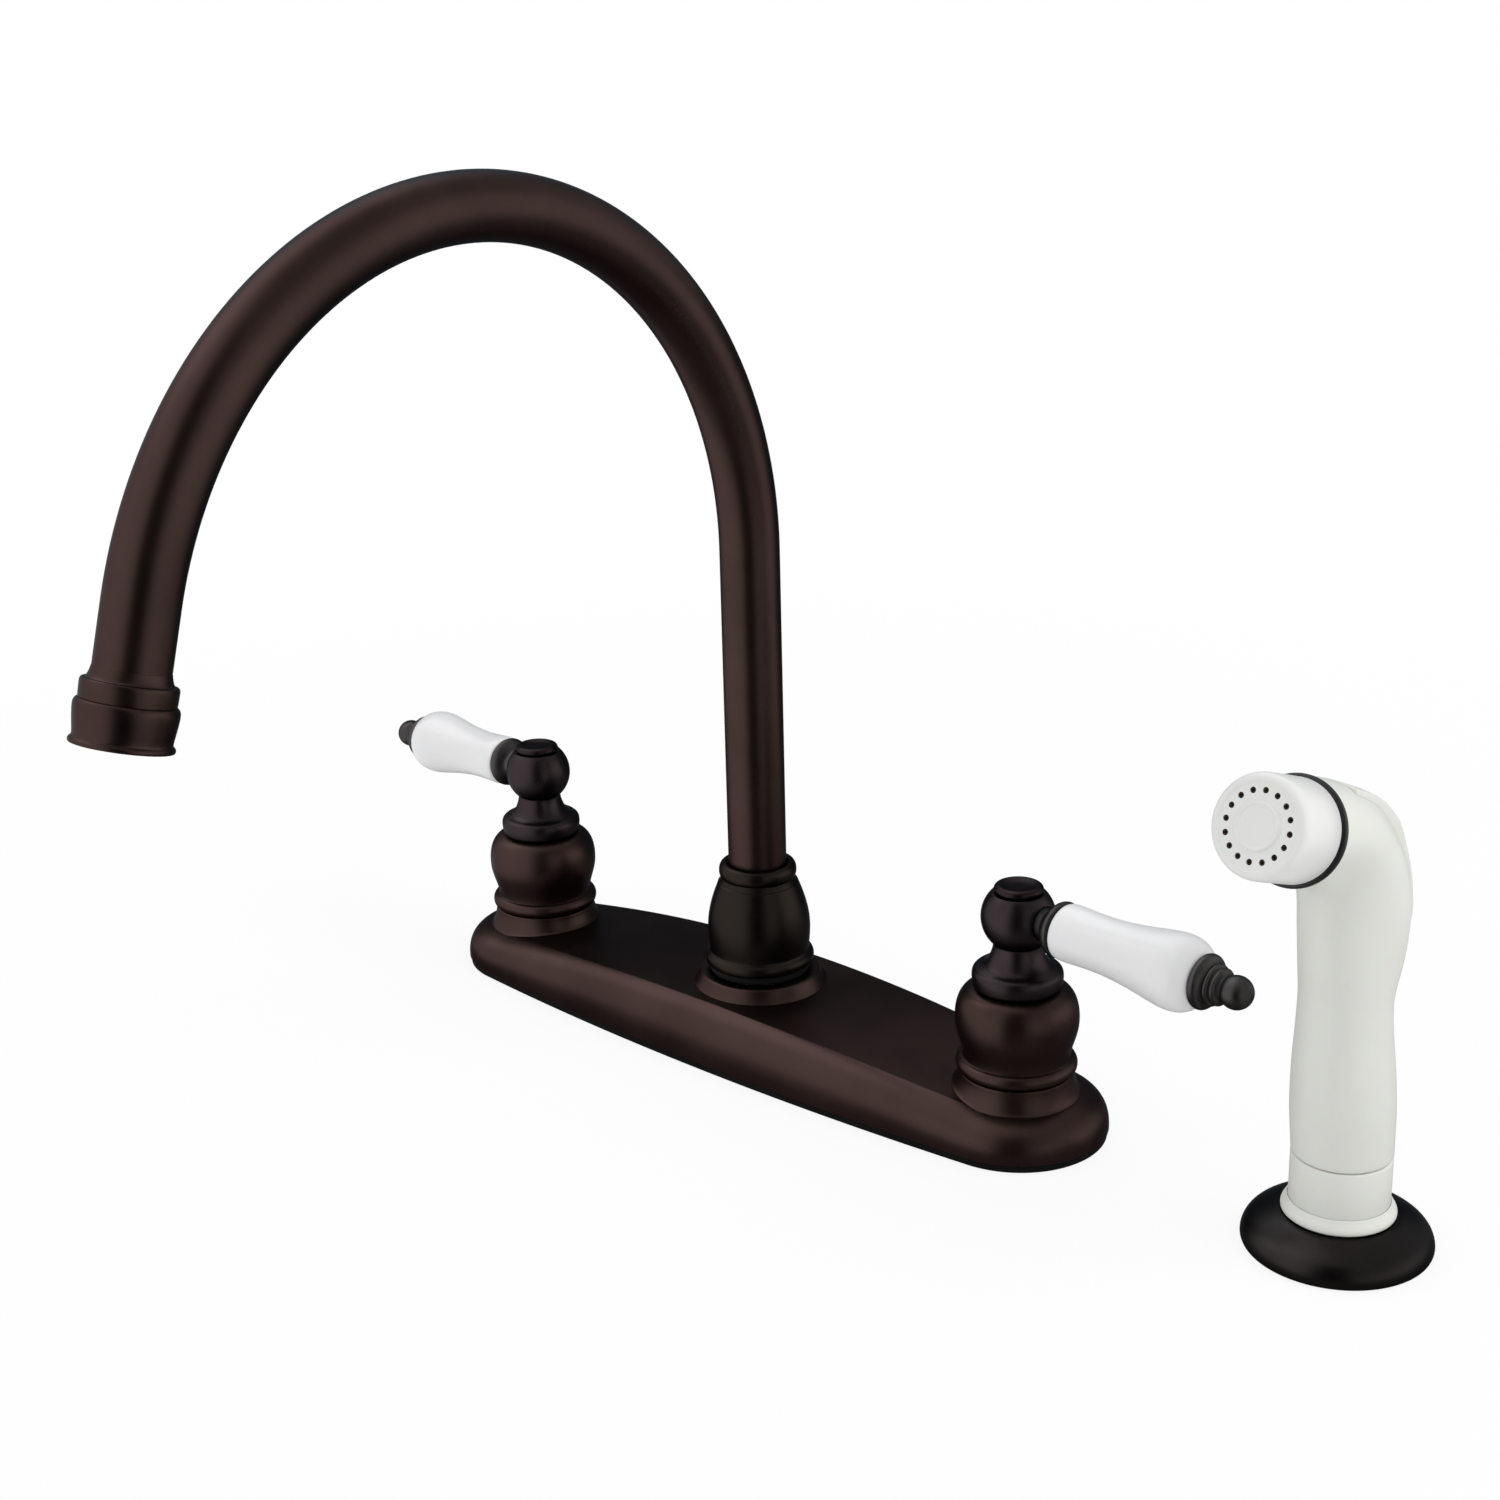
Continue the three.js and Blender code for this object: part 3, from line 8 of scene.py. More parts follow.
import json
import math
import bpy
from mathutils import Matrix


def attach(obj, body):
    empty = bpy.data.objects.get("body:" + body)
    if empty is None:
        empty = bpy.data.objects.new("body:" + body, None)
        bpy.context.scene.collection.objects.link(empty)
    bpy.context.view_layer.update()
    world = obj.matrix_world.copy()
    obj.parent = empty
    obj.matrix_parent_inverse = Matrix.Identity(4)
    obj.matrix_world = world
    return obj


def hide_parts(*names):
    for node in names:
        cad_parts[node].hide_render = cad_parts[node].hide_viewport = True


bl_info = {
    "name": "Two Handle Kitchen Faucet",
    "version": (1, 0, 0),
    "blender": (4, 5, 0),
    "location": "View3D > Sidebar > Faucet",
    "description": "Models and finishes a two handle kitchen faucet",
    "category": "Add Mesh",
}

import bmesh
import bpy
from mathutils import Euler, Matrix, Vector

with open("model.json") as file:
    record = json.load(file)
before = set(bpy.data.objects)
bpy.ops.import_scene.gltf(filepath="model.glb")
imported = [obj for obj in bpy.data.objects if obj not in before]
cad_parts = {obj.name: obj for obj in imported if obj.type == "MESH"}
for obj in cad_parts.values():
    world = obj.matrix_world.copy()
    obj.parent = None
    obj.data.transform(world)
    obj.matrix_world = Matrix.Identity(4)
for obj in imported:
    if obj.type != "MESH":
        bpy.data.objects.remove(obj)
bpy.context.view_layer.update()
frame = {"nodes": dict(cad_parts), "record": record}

MM = 0.001
NEAR = 0.004  # profile points closer than this are one point
WELD = 1e-6  # metres within which two vertices are one
TINY = 1e-6
VALVES = {"hot": -101.6, "cold": 101.6}
LEVERS = {"hot": (180 - 4.7, 2.8), "cold": (-4.5, 0.4)}  # direction and droop
LEVER_HEIGHT = 69.0
SPOUT_TURN = 2.9
SPOUT_BORE = 15.0
VALVE_BORE = 14.0
ARC_RADIUS = 112.1
ARC_ANGLE = 163.0
RISER_FOOT = 35.6
RISER_TOP = 161.6
TUBE_TAIL = 21.4  # straight end of the tube inside the outlet
TUBE_SIDES = 72
ARC_STEPS = 110
SPRAY_PLACE = (205.5, 3.4, 0.0)
SPRAY_TURN = -2.0
HEAD_CENTRE = (0.0, -32.9, 127.9)
HEAD_TILT = 19.7
HANDLE_FOOT = 27.6
TRIGGER_PIVOT = (0, -15.6, 132.2)
PLUNGER_HEIGHT = 99.0
NOZZLE_FOOT = 1.15
NOZZLE_LENGTH = 16.9
HOLE_CIRCLE = 8.75


# ------------------------------------------------------------ modelling

def deselect():
    if bpy.context.mode != "OBJECT":
        bpy.ops.object.mode_set(mode="OBJECT")
    bpy.ops.object.select_all(action="DESELECT")


def chosen(piece):
    """Makes a piece the active and only selected one."""
    deselect()
    piece.select_set(True)
    bpy.context.view_layer.objects.active = piece


def edit_all():
    bpy.ops.object.mode_set(mode="EDIT")
    bpy.ops.mesh.select_all(action="SELECT")


def renamed(piece, name):
    piece.name = name
    piece.data.name = name
    return piece


def named(name):
    """Names what the last operator made."""
    return renamed(bpy.context.active_object, name)


def between(p, q, tp, tq, t):
    """The point at t on the line that is p at tp and q at tq."""
    return p * ((tq - t) / (tq - tp)) + q * ((t - tp) / (tq - tp))


def smooth_run(knots, steps):
    """Points on a smooth curve through the knots of one run."""
    if len(knots) < 3:
        return list(knots)
    ends = [tuple(2 * a - b for a, b in zip(knots[0], knots[1]))]
    ends += list(knots)
    ends += [tuple(2 * a - b for a, b in zip(knots[-1], knots[-2]))]
    points = []
    for i in range(1, len(ends) - 2):
        p0, p1, p2, p3 = (Vector(p) for p in ends[i - 1 : i + 3])
        t0 = 0.0
        t1 = t0 + max(TINY, (p1 - p0).length) ** 0.5
        t2 = t1 + max(TINY, (p2 - p1).length) ** 0.5
        t3 = t2 + max(TINY, (p3 - p2).length) ** 0.5
        for k in range(steps):
            t = t1 + (t2 - t1) * k / steps
            a1 = between(p0, p1, t0, t1, t)
            a2 = between(p1, p2, t1, t2, t)
            a3 = between(p2, p3, t2, t3, t)
            b1 = between(a1, a2, t0, t2, t)
            b2 = between(a2, a3, t1, t3, t)
            points.append(tuple(between(b1, b2, t1, t2, t)))
    points.append(tuple(knots[-1]))
    return points


def drawn(profile, steps):
    """Points of a profile: a pair is a corner, a list a smooth run from the point before it."""
    points = [profile[0]]
    last = profile[0]
    for part in profile[1:]:
        smooth_part = isinstance(part, list)
        for p in smooth_run([last] + part, steps) if smooth_part else [part]:
            if (Vector(p) - Vector(points[-1])).length > NEAR:
                points.append(p)
        last = part[-1] if smooth_part else part
    return points


def ball_run(centre, radius, low, high, count=14):
    """Part of a ball's outline from the low angle to the high one."""
    angles = [math.radians(low + (high - low) * i / count) for i in range(count + 1)]
    return [(radius * math.cos(a), centre + radius * math.sin(a)) for a in angles]


def turned(name, profile, steps=96, closed=True, curve_steps=4, edge=0.12):
    """A turned piece: its profile is drawn by extruding a point, then spun."""
    points = drawn(profile, curve_steps)
    deselect()
    bpy.ops.mesh.primitive_plane_add(size=1 * MM, location=(0, 0, 0))
    piece = named(name)
    edit_all()
    bpy.ops.mesh.merge(type="CENTER")
    x, z = points[0]
    bpy.ops.transform.translate(value=(x * MM, 0, z * MM))
    for (xa, za), (xb, zb) in zip(points, points[1:]):
        bpy.ops.mesh.extrude_region_move(
            TRANSFORM_OT_translate={"value": ((xb - xa) * MM, 0, (zb - za) * MM)}
        )
    if closed:
        mesh = bmesh.from_edit_mesh(piece.data)
        for v in mesh.verts:
            v.select = len(v.link_edges) == 1
        bmesh.update_edit_mesh(piece.data)
        bpy.ops.mesh.edge_face_add()
    bpy.ops.mesh.select_all(action="SELECT")
    bpy.ops.mesh.spin(
        steps=steps, angle=2 * math.pi, center=(0, 0, 0), axis=(0, 0, 1), use_auto_merge=True
    )
    bpy.ops.mesh.select_all(action="SELECT")
    bpy.ops.mesh.remove_doubles(threshold=WELD)
    bpy.ops.mesh.dissolve_degenerate(threshold=0.1 * WELD)
    bpy.ops.mesh.normals_make_consistent(inside=False)
    bpy.ops.object.mode_set(mode="OBJECT")
    if edge:
        soften(piece, edge)
    return piece


def thread(radius, depth, low, high, pitch):
    """Corners of a screw thread's outline, from its low end to its high end."""
    flat = pitch * 0.2
    z = low + depth
    corners = [(radius - depth, low), (radius, z)]
    for _ in range(int((high - low - 2 * depth) / pitch)):
        middle = z + flat + (pitch - flat) / 2
        corners += [(radius, z + flat), (radius - depth, middle), (radius, z + pitch)]
        z += pitch
    return corners + [(radius, high)]


def apply_all(piece):
    """Applies a piece's modifiers in their order."""
    chosen(piece)
    for modifier in list(piece.modifiers):
        bpy.ops.object.modifier_apply(modifier=modifier.name)


def soften(piece, width, segments=2, angle=38):
    """Breaks the sharp edges by a small round."""
    bevel = piece.modifiers.new("Broken edges", "BEVEL")
    bevel.width = width * MM
    bevel.segments = segments
    bevel.limit_method = "ANGLE"
    bevel.angle_limit = math.radians(angle)
    bevel.use_clamp_overlap = True
    bevel.harden_normals = False
    apply_all(piece)


def thickened(piece, thickness):
    """Gives a skin a wall on its inner side."""
    wall = piece.modifiers.new("Wall", "SOLIDIFY")
    wall.thickness = thickness
    wall.offset = -1.0
    apply_all(piece)


def place(piece, matrix):
    """Moves a piece, then puts the move in its mesh."""
    chosen(piece)
    piece.matrix_world = matrix
    bpy.ops.object.transform_apply(location=True, rotation=True, scale=True)
    return piece


def shift(x, y, z):
    return Matrix.Translation((x * MM, y * MM, z * MM))


def about(axis, degrees):
    return Matrix.Rotation(math.radians(degrees), 4, axis)


def ringed(name, rings, solid=False):
    """Rings of points in millimetres, extruded one from the other; a solid has closed ends."""
    deselect()
    count = len(rings[0])
    bpy.ops.mesh.primitive_circle_add(vertices=count, radius=10 * MM, fill_type="NOTHING")
    piece = named(name)
    edit_all()
    mesh = bmesh.from_edit_mesh(piece.data)
    for v, p in zip(mesh.verts, rings[0]):
        v.co = Vector(p) * MM
    bmesh.update_edit_mesh(piece.data)
    for old, new in zip(rings, rings[1:]):
        bpy.ops.mesh.extrude_edges_move(TRANSFORM_OT_translate={"value": (0, 0, 0)})
        mesh = bmesh.from_edit_mesh(piece.data)
        index = {tuple(round(c * 100) for c in p): i for i, p in enumerate(old)}
        for v in [v for v in mesh.verts if v.select]:
            i = index.get(tuple(round(c / MM * 100) for c in v.co))
            if i is None:
                i = min(range(count), key=lambda k: (Vector(old[k]) * MM - v.co).length)
            v.co = Vector(new[i]) * MM
        bmesh.update_edit_mesh(piece.data)
    if solid:
        bpy.ops.mesh.edge_face_add()
    bpy.ops.mesh.select_all(action="SELECT")
    bpy.ops.mesh.remove_doubles(threshold=2 * WELD)
    bpy.ops.mesh.normals_make_consistent(inside=False)
    if solid:
        bpy.ops.mesh.select_all(action="DESELECT")
        bpy.ops.mesh.select_non_manifold()
        bpy.ops.mesh.edge_face_add()
        bpy.ops.mesh.select_all(action="SELECT")
        bpy.ops.mesh.normals_make_consistent(inside=False)
    bpy.ops.object.mode_set(mode="OBJECT")
    return piece


def cut(piece, tools):
    """Cuts other pieces out of a piece."""
    for tool in tools:
        boolean = piece.modifiers.new("Cut", "BOOLEAN")
        boolean.operation = "DIFFERENCE"
        boolean.solver = "EXACT"
        boolean.object = tool
        apply_all(piece)
        bpy.data.objects.remove(tool)


def joined(pieces, name):
    deselect()
    for piece in pieces:
        piece.select_set(True)
    bpy.context.view_layer.objects.active = pieces[0]
    bpy.ops.object.join()
    return named(name)


def rod(name, radius, z0, z1, steps=48):
    """A plain cylinder or prism about the upright axis, in millimetres."""
    deselect()
    bpy.ops.mesh.primitive_cylinder_add(
        vertices=steps, radius=radius * MM, depth=(z1 - z0) * MM, location=(0, 0, (z0 + z1) / 2 * MM)
    )
    piece = named(name)
    bpy.ops.object.transform_apply(location=True)
    return piece


def finished(piece, body, slot, nodes, look=None, angle=40):
    """Smooths and hands over one piece, in the finish of its slot or another look."""
    chosen(piece)
    bpy.ops.object.shade_smooth_by_angle(angle=math.radians(angle))
    piece.data.materials.clear()
    piece.data.materials.append(FINISH[look or slot])
    if nodes:
        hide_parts(*nodes)
    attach(piece, body)


def turned_out(name, body, slot, profile, node=None, at=None, look=None, angle=40, **how):
    """Turns a piece, puts it in its place and hands it over for its CAD node."""
    piece = turned(name + "_finish", profile, **how)
    if at is not None:
        place(piece, at)
    finished(piece, body, slot, [node or name], look, angle)


# ------------------------------------------------------------ finishes

def fed(tree, node, inputs):
    """Links a node's inputs to sockets, or sets them to numbers and colours."""
    for key, value in inputs.items():
        if isinstance(value, bpy.types.NodeSocket):
            tree.links.new(value, node.inputs[key])
        elif value is not None:
            node.inputs[key].default_value = value


def made(tree, kind, inputs={}, **settings):
    """A new shader node with these inputs and settings; gives its outputs."""
    node = tree.nodes.new("ShaderNode" + kind)
    for key, value in settings.items():
        setattr(node, key, value)
    fed(tree, node, inputs)
    return node.outputs


def group_of(name, inputs):
    """A shader group: a Vector and these inputs give a colour, a roughness and a height."""
    tree = bpy.data.node_groups.new(name, "ShaderNodeTree")
    for label, value in {"Vector": (0, 0, 0), **inputs}.items():
        kind = "Float" if isinstance(value, float) else "Vector" if len(value) == 3 else "Color"
        socket = tree.interface.new_socket(name=label, in_out="INPUT", socket_type="NodeSocket" + kind)
        socket.default_value = value
    for label, kind in (("Color", "Color"), ("Roughness", "Float"), ("Height", "Float")):
        tree.interface.new_socket(name=label, in_out="OUTPUT", socket_type="NodeSocket" + kind)
    return tree, tree.nodes.new("NodeGroupInput").outputs, tree.nodes.new("NodeGroupOutput").inputs


def math_node(tree, operation, a, b=None):
    return made(tree, "Math", {0: a, 1: b}, operation=operation)[0]


def times(tree, a, b):
    return math_node(tree, "MULTIPLY", a, b)


def plus(tree, a, b):
    return math_node(tree, "ADD", a, b)


def ranged(tree, value, low, high, to_low=0.0, to_high=1.0):
    ends = {"Value": value, "From Min": low, "From Max": high, "To Min": to_low, "To Max": to_high}
    return made(tree, "MapRange", ends, interpolation_type="SMOOTHSTEP")["Result"]


def noise(tree, vector, scale, detail, rough):
    inputs = {"Vector": vector, "Scale": scale, "Detail": detail, "Roughness": rough}
    return made(tree, "TexNoise", inputs)["Fac"]


def blended(tree, factor, a, b, kind="RGBA"):
    return made(tree, "Mix", {"Factor": factor, "A": a, "B": b}, data_type=kind)["Result"]


def swing(tree, value, amount):
    """A noise about its middle, times an amount."""
    return times(tree, math_node(tree, "SUBTRACT", value, 0.5), amount)


def close_group(tree, sink, colour, roughness, height):
    for label, value in (("Color", colour), ("Roughness", roughness), ("Height", height)):
        tree.links.new(value, sink[label])
    return tree


def patina_group():
    """Cloudy darkening of a chemically darkened metal, and its worn edges."""
    tree, source, sink = group_of("Patina", {
        "Cloud Scale": 40.0,
        "Dark": (0.03, 0.02, 0.016, 1),
        "Light": (0.06, 0.04, 0.03, 1),
        "Edge": (0.2, 0.1, 0.06, 1),
        "Edge Amount": 0.3,
        "Roughness": 0.35,
        "Roughness Spread": 0.08,
    })
    cloud = noise(tree, source["Vector"], source["Cloud Scale"], 4.0, 0.55)
    cloud = ranged(tree, cloud, 0.32, 0.68)
    grain = noise(tree, source["Vector"], 1400.0, 2.0, 0.6)
    worn = ranged(tree, made(tree, "NewGeometry")["Pointiness"], 0.56, 0.72)
    worn = times(tree, worn, source["Edge Amount"])
    worn = times(tree, worn, ranged(tree, grain, 0.3, 0.7, 0.6, 1.0))
    colour = blended(tree, worn, blended(tree, cloud, source["Dark"], source["Light"]), source["Edge"])
    spread = source["Roughness Spread"]
    swings = plus(tree, swing(tree, cloud, spread), swing(tree, grain, spread))
    return close_group(tree, sink, colour, plus(tree, source["Roughness"], swings), grain)


def moulded_group():
    """Slight waves, fine orange peel and faint mottling of a moulded surface."""
    tree, source, sink = group_of("Moulded", {
        "Color": (0.8, 0.8, 0.78, 1),
        "Shade": (0.7, 0.7, 0.68, 1),
        "Mottle Scale": 30.0,
        "Peel Scale": 900.0,
        "Roughness": 0.4,
        "Roughness Spread": 0.06,
    })
    mottle = noise(tree, source["Vector"], source["Mottle Scale"], 3.0, 0.5)
    peel = noise(tree, source["Vector"], source["Peel Scale"], 2.0, 0.5)
    colour = blended(tree, ranged(tree, mottle, 0.3, 0.75), source["Color"], source["Shade"])
    rough = plus(tree, source["Roughness"], swing(tree, mottle, source["Roughness Spread"]))
    return close_group(tree, sink, colour, rough, peel)


def machined_group():
    """Fine lathe lines round the upright axis and tarnish, for bare metal."""
    tree, source, sink = group_of("Machined", {
        "Color": (0.6, 0.5, 0.3, 1),
        "Tarnish": (0.35, 0.26, 0.14, 1),
        "Line Scale": 900.0,
        "Roughness": 0.3,
        "Roughness Spread": 0.15,
    })
    height = made(tree, "SeparateXYZ", {0: source["Vector"]})["Z"]
    height = times(tree, height, source["Line Scale"])
    lines = noise(tree, made(tree, "CombineXYZ", {"Z": height})[0], 1.0, 2.0, 0.6)
    cloud = noise(tree, source["Vector"], 60.0, 4.0, 0.55)
    colour = blended(tree, ranged(tree, cloud, 0.35, 0.7), source["Color"], source["Tarnish"])
    rough = plus(tree, source["Roughness"], swing(tree, cloud, source["Roughness Spread"]))
    return close_group(tree, sink, colour, rough, lines)


FINISH = {}


def finish(key, name, group, values, shader_values, bump, distance):
    """A material: one shared group drives colour, roughness and bump."""
    material = bpy.data.materials.new(name)
    material.use_nodes = True
    tree = material.node_tree
    spot = made(tree, "TexCoord")["Object"]
    effect = made(tree, "Group", {"Vector": spot, **values}, node_tree=group)
    relief = {"Strength": bump, "Distance": distance * MM, "Height": effect["Height"]}
    relief = made(tree, "Bump", relief)["Normal"]
    driven = {"Base Color": effect["Color"], "Roughness": effect["Roughness"], "Normal": relief}
    fed(tree, tree.nodes["Principled BSDF"], {**driven, **shader_values})
    FINISH[key] = material


def rgba(colour, share=1.0):
    return (*(c * share for c in colour), 1.0)


COATS = {  # cloud scale, dark and light share, worn edge, added roughness, its spread, tint
    "bronze": (28.0, 0.86, 1.12, 0.35, 0.0, 0.05, (0.50, 0.525, 0.545, 1.0)),
    "dark_bronze": (60.0, 0.85, 1.1, 0.4, 0.06, 0.06, (0.5, 0.5, 0.5, 1.0)),
}
BRONZES = (  # key, name, coat, tone as shares of the coat's colour, edge as shares of the tone
    ("bronze", "Oil rubbed bronze", "bronze", (1.0, 1.0, 1.0), (1.9, 1.6, 1.5)),
    # painted shade: a darker copy of the same bronze for the spout nut, standing in for the shade it shows
    ("bronze_nut_painted_shade", "Oil rubbed bronze, heavy", "bronze", (0.52, 0.66, 0.62), (1.7, 1.7, 1.7)),
    # painted shade: a darker, cooler copy of the same bronze for the spray flange
    ("bronze_flange_painted_shade", "Oil rubbed bronze, coated", "bronze", (0.56, 0.80, 0.86), (1.7, 1.7, 1.7)),
    # painted shade: a darker, bluer copy of the same bronze for the index caps
    ("bronze_cap", "Oil rubbed bronze, deep", "bronze", (0.55, 0.64, 0.74), (1.7, 1.7, 1.7)),
    # painted shade: a darker, cooler copy of the same bronze for the handle hubs
    ("bronze_hub", "Oil rubbed bronze, cool", "bronze", (0.76, 0.93, 1.10), (1.7, 1.7, 1.7)),
    ("dark_bronze", "Darkened bronze", "dark_bronze", (1.0, 1.0, 1.0), (1.7, 1.7, 1.7)),
)
SATIN_WHITE = (
    {"Mottle Scale": 22.0, "Peel Scale": 1100.0, "Roughness": 0.36, "Roughness Spread": 0.06},
    {"Specular IOR Level": 0.45, "Subsurface Weight": 0.08, "Subsurface Scale": 0.0015},
)
SMALL_PARTS = (  # key, name, colour, shade, effect values, shader values, bump, distance
    ("black_plastic", "Black seal plastic", (0.006, 0.0065, 0.008), (0.010, 0.0105, 0.012),
     {"Mottle Scale": 60.0, "Roughness": 0.42}, {"Specular IOR Level": 0.4}, 0.08, 0.02),
    ("rubber", "Black rubber", (0.004, 0.004, 0.0045), (0.007, 0.007, 0.0075),
     {"Mottle Scale": 80.0, "Roughness": 0.75}, {"Specular IOR Level": 0.12}, 0.2, 0.02),
    # painted shade: dark brown for the plugs sunk in the spray's holes, standing in for the shade inside them
    ("jet_rubber", "Dark jet rubber", (0.036, 0.026, 0.014), (0.022, 0.015, 0.008),
     {"Mottle Scale": 400.0, "Roughness": 0.7}, {"Specular IOR Level": 0.15}, 0.1, 0.02),
    # painted light: a lighter, more neutral copy of the spray's white plastic for the nozzle
    ("nozzle_plastic", "White nozzle plastic", (0.775, 0.78, 0.765), (0.75, 0.755, 0.74),
     *SATIN_WHITE, 0.05, 0.02),
    ("disc_ceramic", "Lapped ceramic", (0.72, 0.69, 0.6), (0.66, 0.63, 0.54),
     {"Mottle Scale": 150.0, "Roughness": 0.22}, {"Specular IOR Level": 0.5}, 0.02, 0.01),
    ("nylon", "Natural nylon", (0.66, 0.62, 0.52), (0.6, 0.56, 0.46),
     {"Mottle Scale": 90.0, "Roughness": 0.5},
     {"Specular IOR Level": 0.4, "Subsurface Weight": 0.1, "Subsurface Scale": 0.001}, 0.1, 0.02),
)
BARE_METALS = (  # key, name, colour, tarnish, roughness, bump
    ("brass", "Turned brass", (0.62, 0.43, 0.17), (0.42, 0.27, 0.11), 0.3, 0.15),
    ("steel", "Stainless steel", (0.55, 0.55, 0.56), (0.42, 0.42, 0.43), 0.28, 0.12),
)


def make_finishes(looks):
    patina, moulded, machined = patina_group(), moulded_group(), machined_group()
    for key, name, coat, tone, edge in BRONZES:
        cloud, dark, light, worn, rougher, spread, tint = COATS[coat]
        tone = [c * k for c, k in zip(getattr(looks, coat), tone)]
        values = {
            "Cloud Scale": cloud,
            "Dark": rgba(tone, dark),
            "Light": rgba(tone, light),
            "Edge": rgba([c * k for c, k in zip(tone, edge)]),
            "Edge Amount": worn,
            "Roughness": looks.bronze_roughness + rougher,
            "Roughness Spread": spread,
        }
        sheen = {"Metallic": 1.0, "Specular Tint": tint}
        finish(key, name, patina, values, sheen, 0.12, 0.01)
    values = {
        "Color": rgba(looks.porcelain),
        "Shade": rgba(looks.porcelain, 0.97),
        "Mottle Scale": 25.0,
        "Peel Scale": 160.0,
        "Roughness": 0.30,
        "Roughness Spread": 0.06,
    }
    glaze = {
        "Specular IOR Level": 0.5,
        "Subsurface Weight": 0.12,
        "Subsurface Radius": (1.0, 0.9, 0.8),
        "Subsurface Scale": 0.002,
        "Coat Weight": 0.12,
        "Coat Roughness": 0.16,
    }
    finish("porcelain", "Glazed porcelain", moulded, values, glaze, 0.04, 0.03)
    values = {"Color": rgba(looks.plastic), "Shade": rgba(looks.plastic, 0.965), **SATIN_WHITE[0]}
    finish("white_plastic", "White moulded plastic", moulded, values, SATIN_WHITE[1], 0.05, 0.02)
    for key, name, colour, shade, values, shader_values, bump, distance in SMALL_PARTS:
        values = {"Color": rgba(colour), "Shade": rgba(shade), **values}
        finish(key, name, moulded, values, shader_values, bump, distance)
    for key, name, colour, tarnish, rough, bump in BARE_METALS:
        values = {"Color": rgba(colour), "Tarnish": rgba(tarnish), "Roughness": rough}
        finish(key, name, machined, values, {"Metallic": 1.0}, bump, 0.01)


def dress_kept_nodes():
    """Gives every CAD node the finish of its slot."""
    slots = {row["node"]: row["material_slot"] for row in frame["record"]["subparts"]}
    for name, node in frame["nodes"].items():
        material = FINISH[slots[name]]
        if not node.material_slots:
            node.data.materials.append(material)
        for socket in node.material_slots:
            socket.material = material


# ------------------------------------------------------------ settings

class FaucetFinishes(bpy.types.PropertyGroup):
    bronze: bpy.props.FloatVectorProperty(
        name="Bronze", description="Colour of the darkened bronze", subtype="COLOR",
        default=(0.051, 0.0315, 0.0285), min=0.0, max=1.0,
    )
    bronze_roughness: bpy.props.FloatProperty(
        name="Bronze Roughness", description="How satin the bronze is", default=0.36,
        min=0.0, max=1.0, subtype="FACTOR",
    )
    dark_bronze: bpy.props.FloatVectorProperty(
        name="Collar Bronze", description="Colour of the lever collars and finials", subtype="COLOR",
        default=(0.070, 0.066, 0.065), min=0.0, max=1.0,
    )
    porcelain: bpy.props.FloatVectorProperty(
        name="Porcelain", description="Colour of the glazed grips", subtype="COLOR",
        default=(0.80, 0.80, 0.81), min=0.0, max=1.0,
    )
    plastic: bpy.props.FloatVectorProperty(
        name="Plastic", description="Colour of the spray's plastic", subtype="COLOR",
        default=(0.725, 0.735, 0.69), min=0.0, max=1.0,
    )


class FaucetSizes(bpy.types.PropertyGroup):
    tube_radius: bpy.props.FloatProperty(
        name="Tube Radius", description="Outside radius of the spout tube", default=9.2 * MM,
        unit="LENGTH", precision=4,
    )
    tube_wall: bpy.props.FloatProperty(
        name="Tube Wall", description="Wall of the spout tube", default=1.0 * MM,
        unit="LENGTH", precision=4,
    )
    spray_holes: bpy.props.IntProperty(
        name="Spray Holes", description="Holes in the face of the spray", default=16, min=4, max=40,
    )
    hole_radius: bpy.props.FloatProperty(
        name="Spray Hole Radius", description="Radius of each hole in the face", default=0.8 * MM,
        unit="LENGTH", precision=4,
    )


# ------------------------------------------------------------ deck plate

END_R = 27.5
MID_HALF_DEPTH = 32.3
HALF = VALVES["cold"]
PLATE_FOOT = 2.3
PLATE_WALL = 2.2
CROWN = (19.9, 6.4)  # height of the plate's middle, and its fall to the valves
CREASE = (7.9, 1.6)  # inset of the crease in the middle, and its gain to the valves
SIDE_ARC = 72
SIDE_SQUARE = 0.76  # below 1 the side's arc is fuller than round
FLARE_TOP = 20.4
BOSS_TOP = 24.1
SIDE_SHARES = (0, 0.02, 0.05, 0.1, 0.16, 0.24, 0.32, 0.4, 0.48, 0.56, 0.64, 0.72, 0.8, 0.88, 0.95, 0.985, 1.0)
TOP_SHARES = (0.01, 0.03, 0.08, 0.18, 0.34, 0.52, 0.7, 0.88, 1.0)


def plate_outline(inset, end_steps=26, side_steps=44):
    """The long oval: two round ends and two bowed sides that meet them smoothly."""
    re = END_R - inset
    bow = MID_HALF_DEPTH - END_R
    k = (HALF ** 2 - bow ** 2) / (2 * bow)
    big = MID_HALF_DEPTH + k - inset
    tangent = math.atan2(HALF, k)
    half = []
    for i in range(end_steps + 1):
        a = (math.pi / 2 - tangent) * i / end_steps
        half.append((HALF + re * math.cos(a), re * math.sin(a)))
    for i in range(1, side_steps):
        a = tangent - 2 * tangent * i / side_steps
        half.append((big * math.sin(a), big * math.cos(a) - k))
    for i in range(end_steps, -1, -1):
        a = (math.pi / 2 - tangent) * i / end_steps
        half.append((-HALF - re * math.cos(a), re * math.sin(a)))
    front = [(x, -y) for x, y in reversed(half[1:-1])]
    return half + front


def crown(x):
    """Height of the plate's top along its length."""
    return CROWN[0] - CROWN[1] * min(1.0, abs(x) / HALF) ** 2


def crease_inset(x):
    """How far the crease between side and top lies inside the foot."""
    return CREASE[0] + CREASE[1] * min(1.0, abs(x) / HALF) ** 4


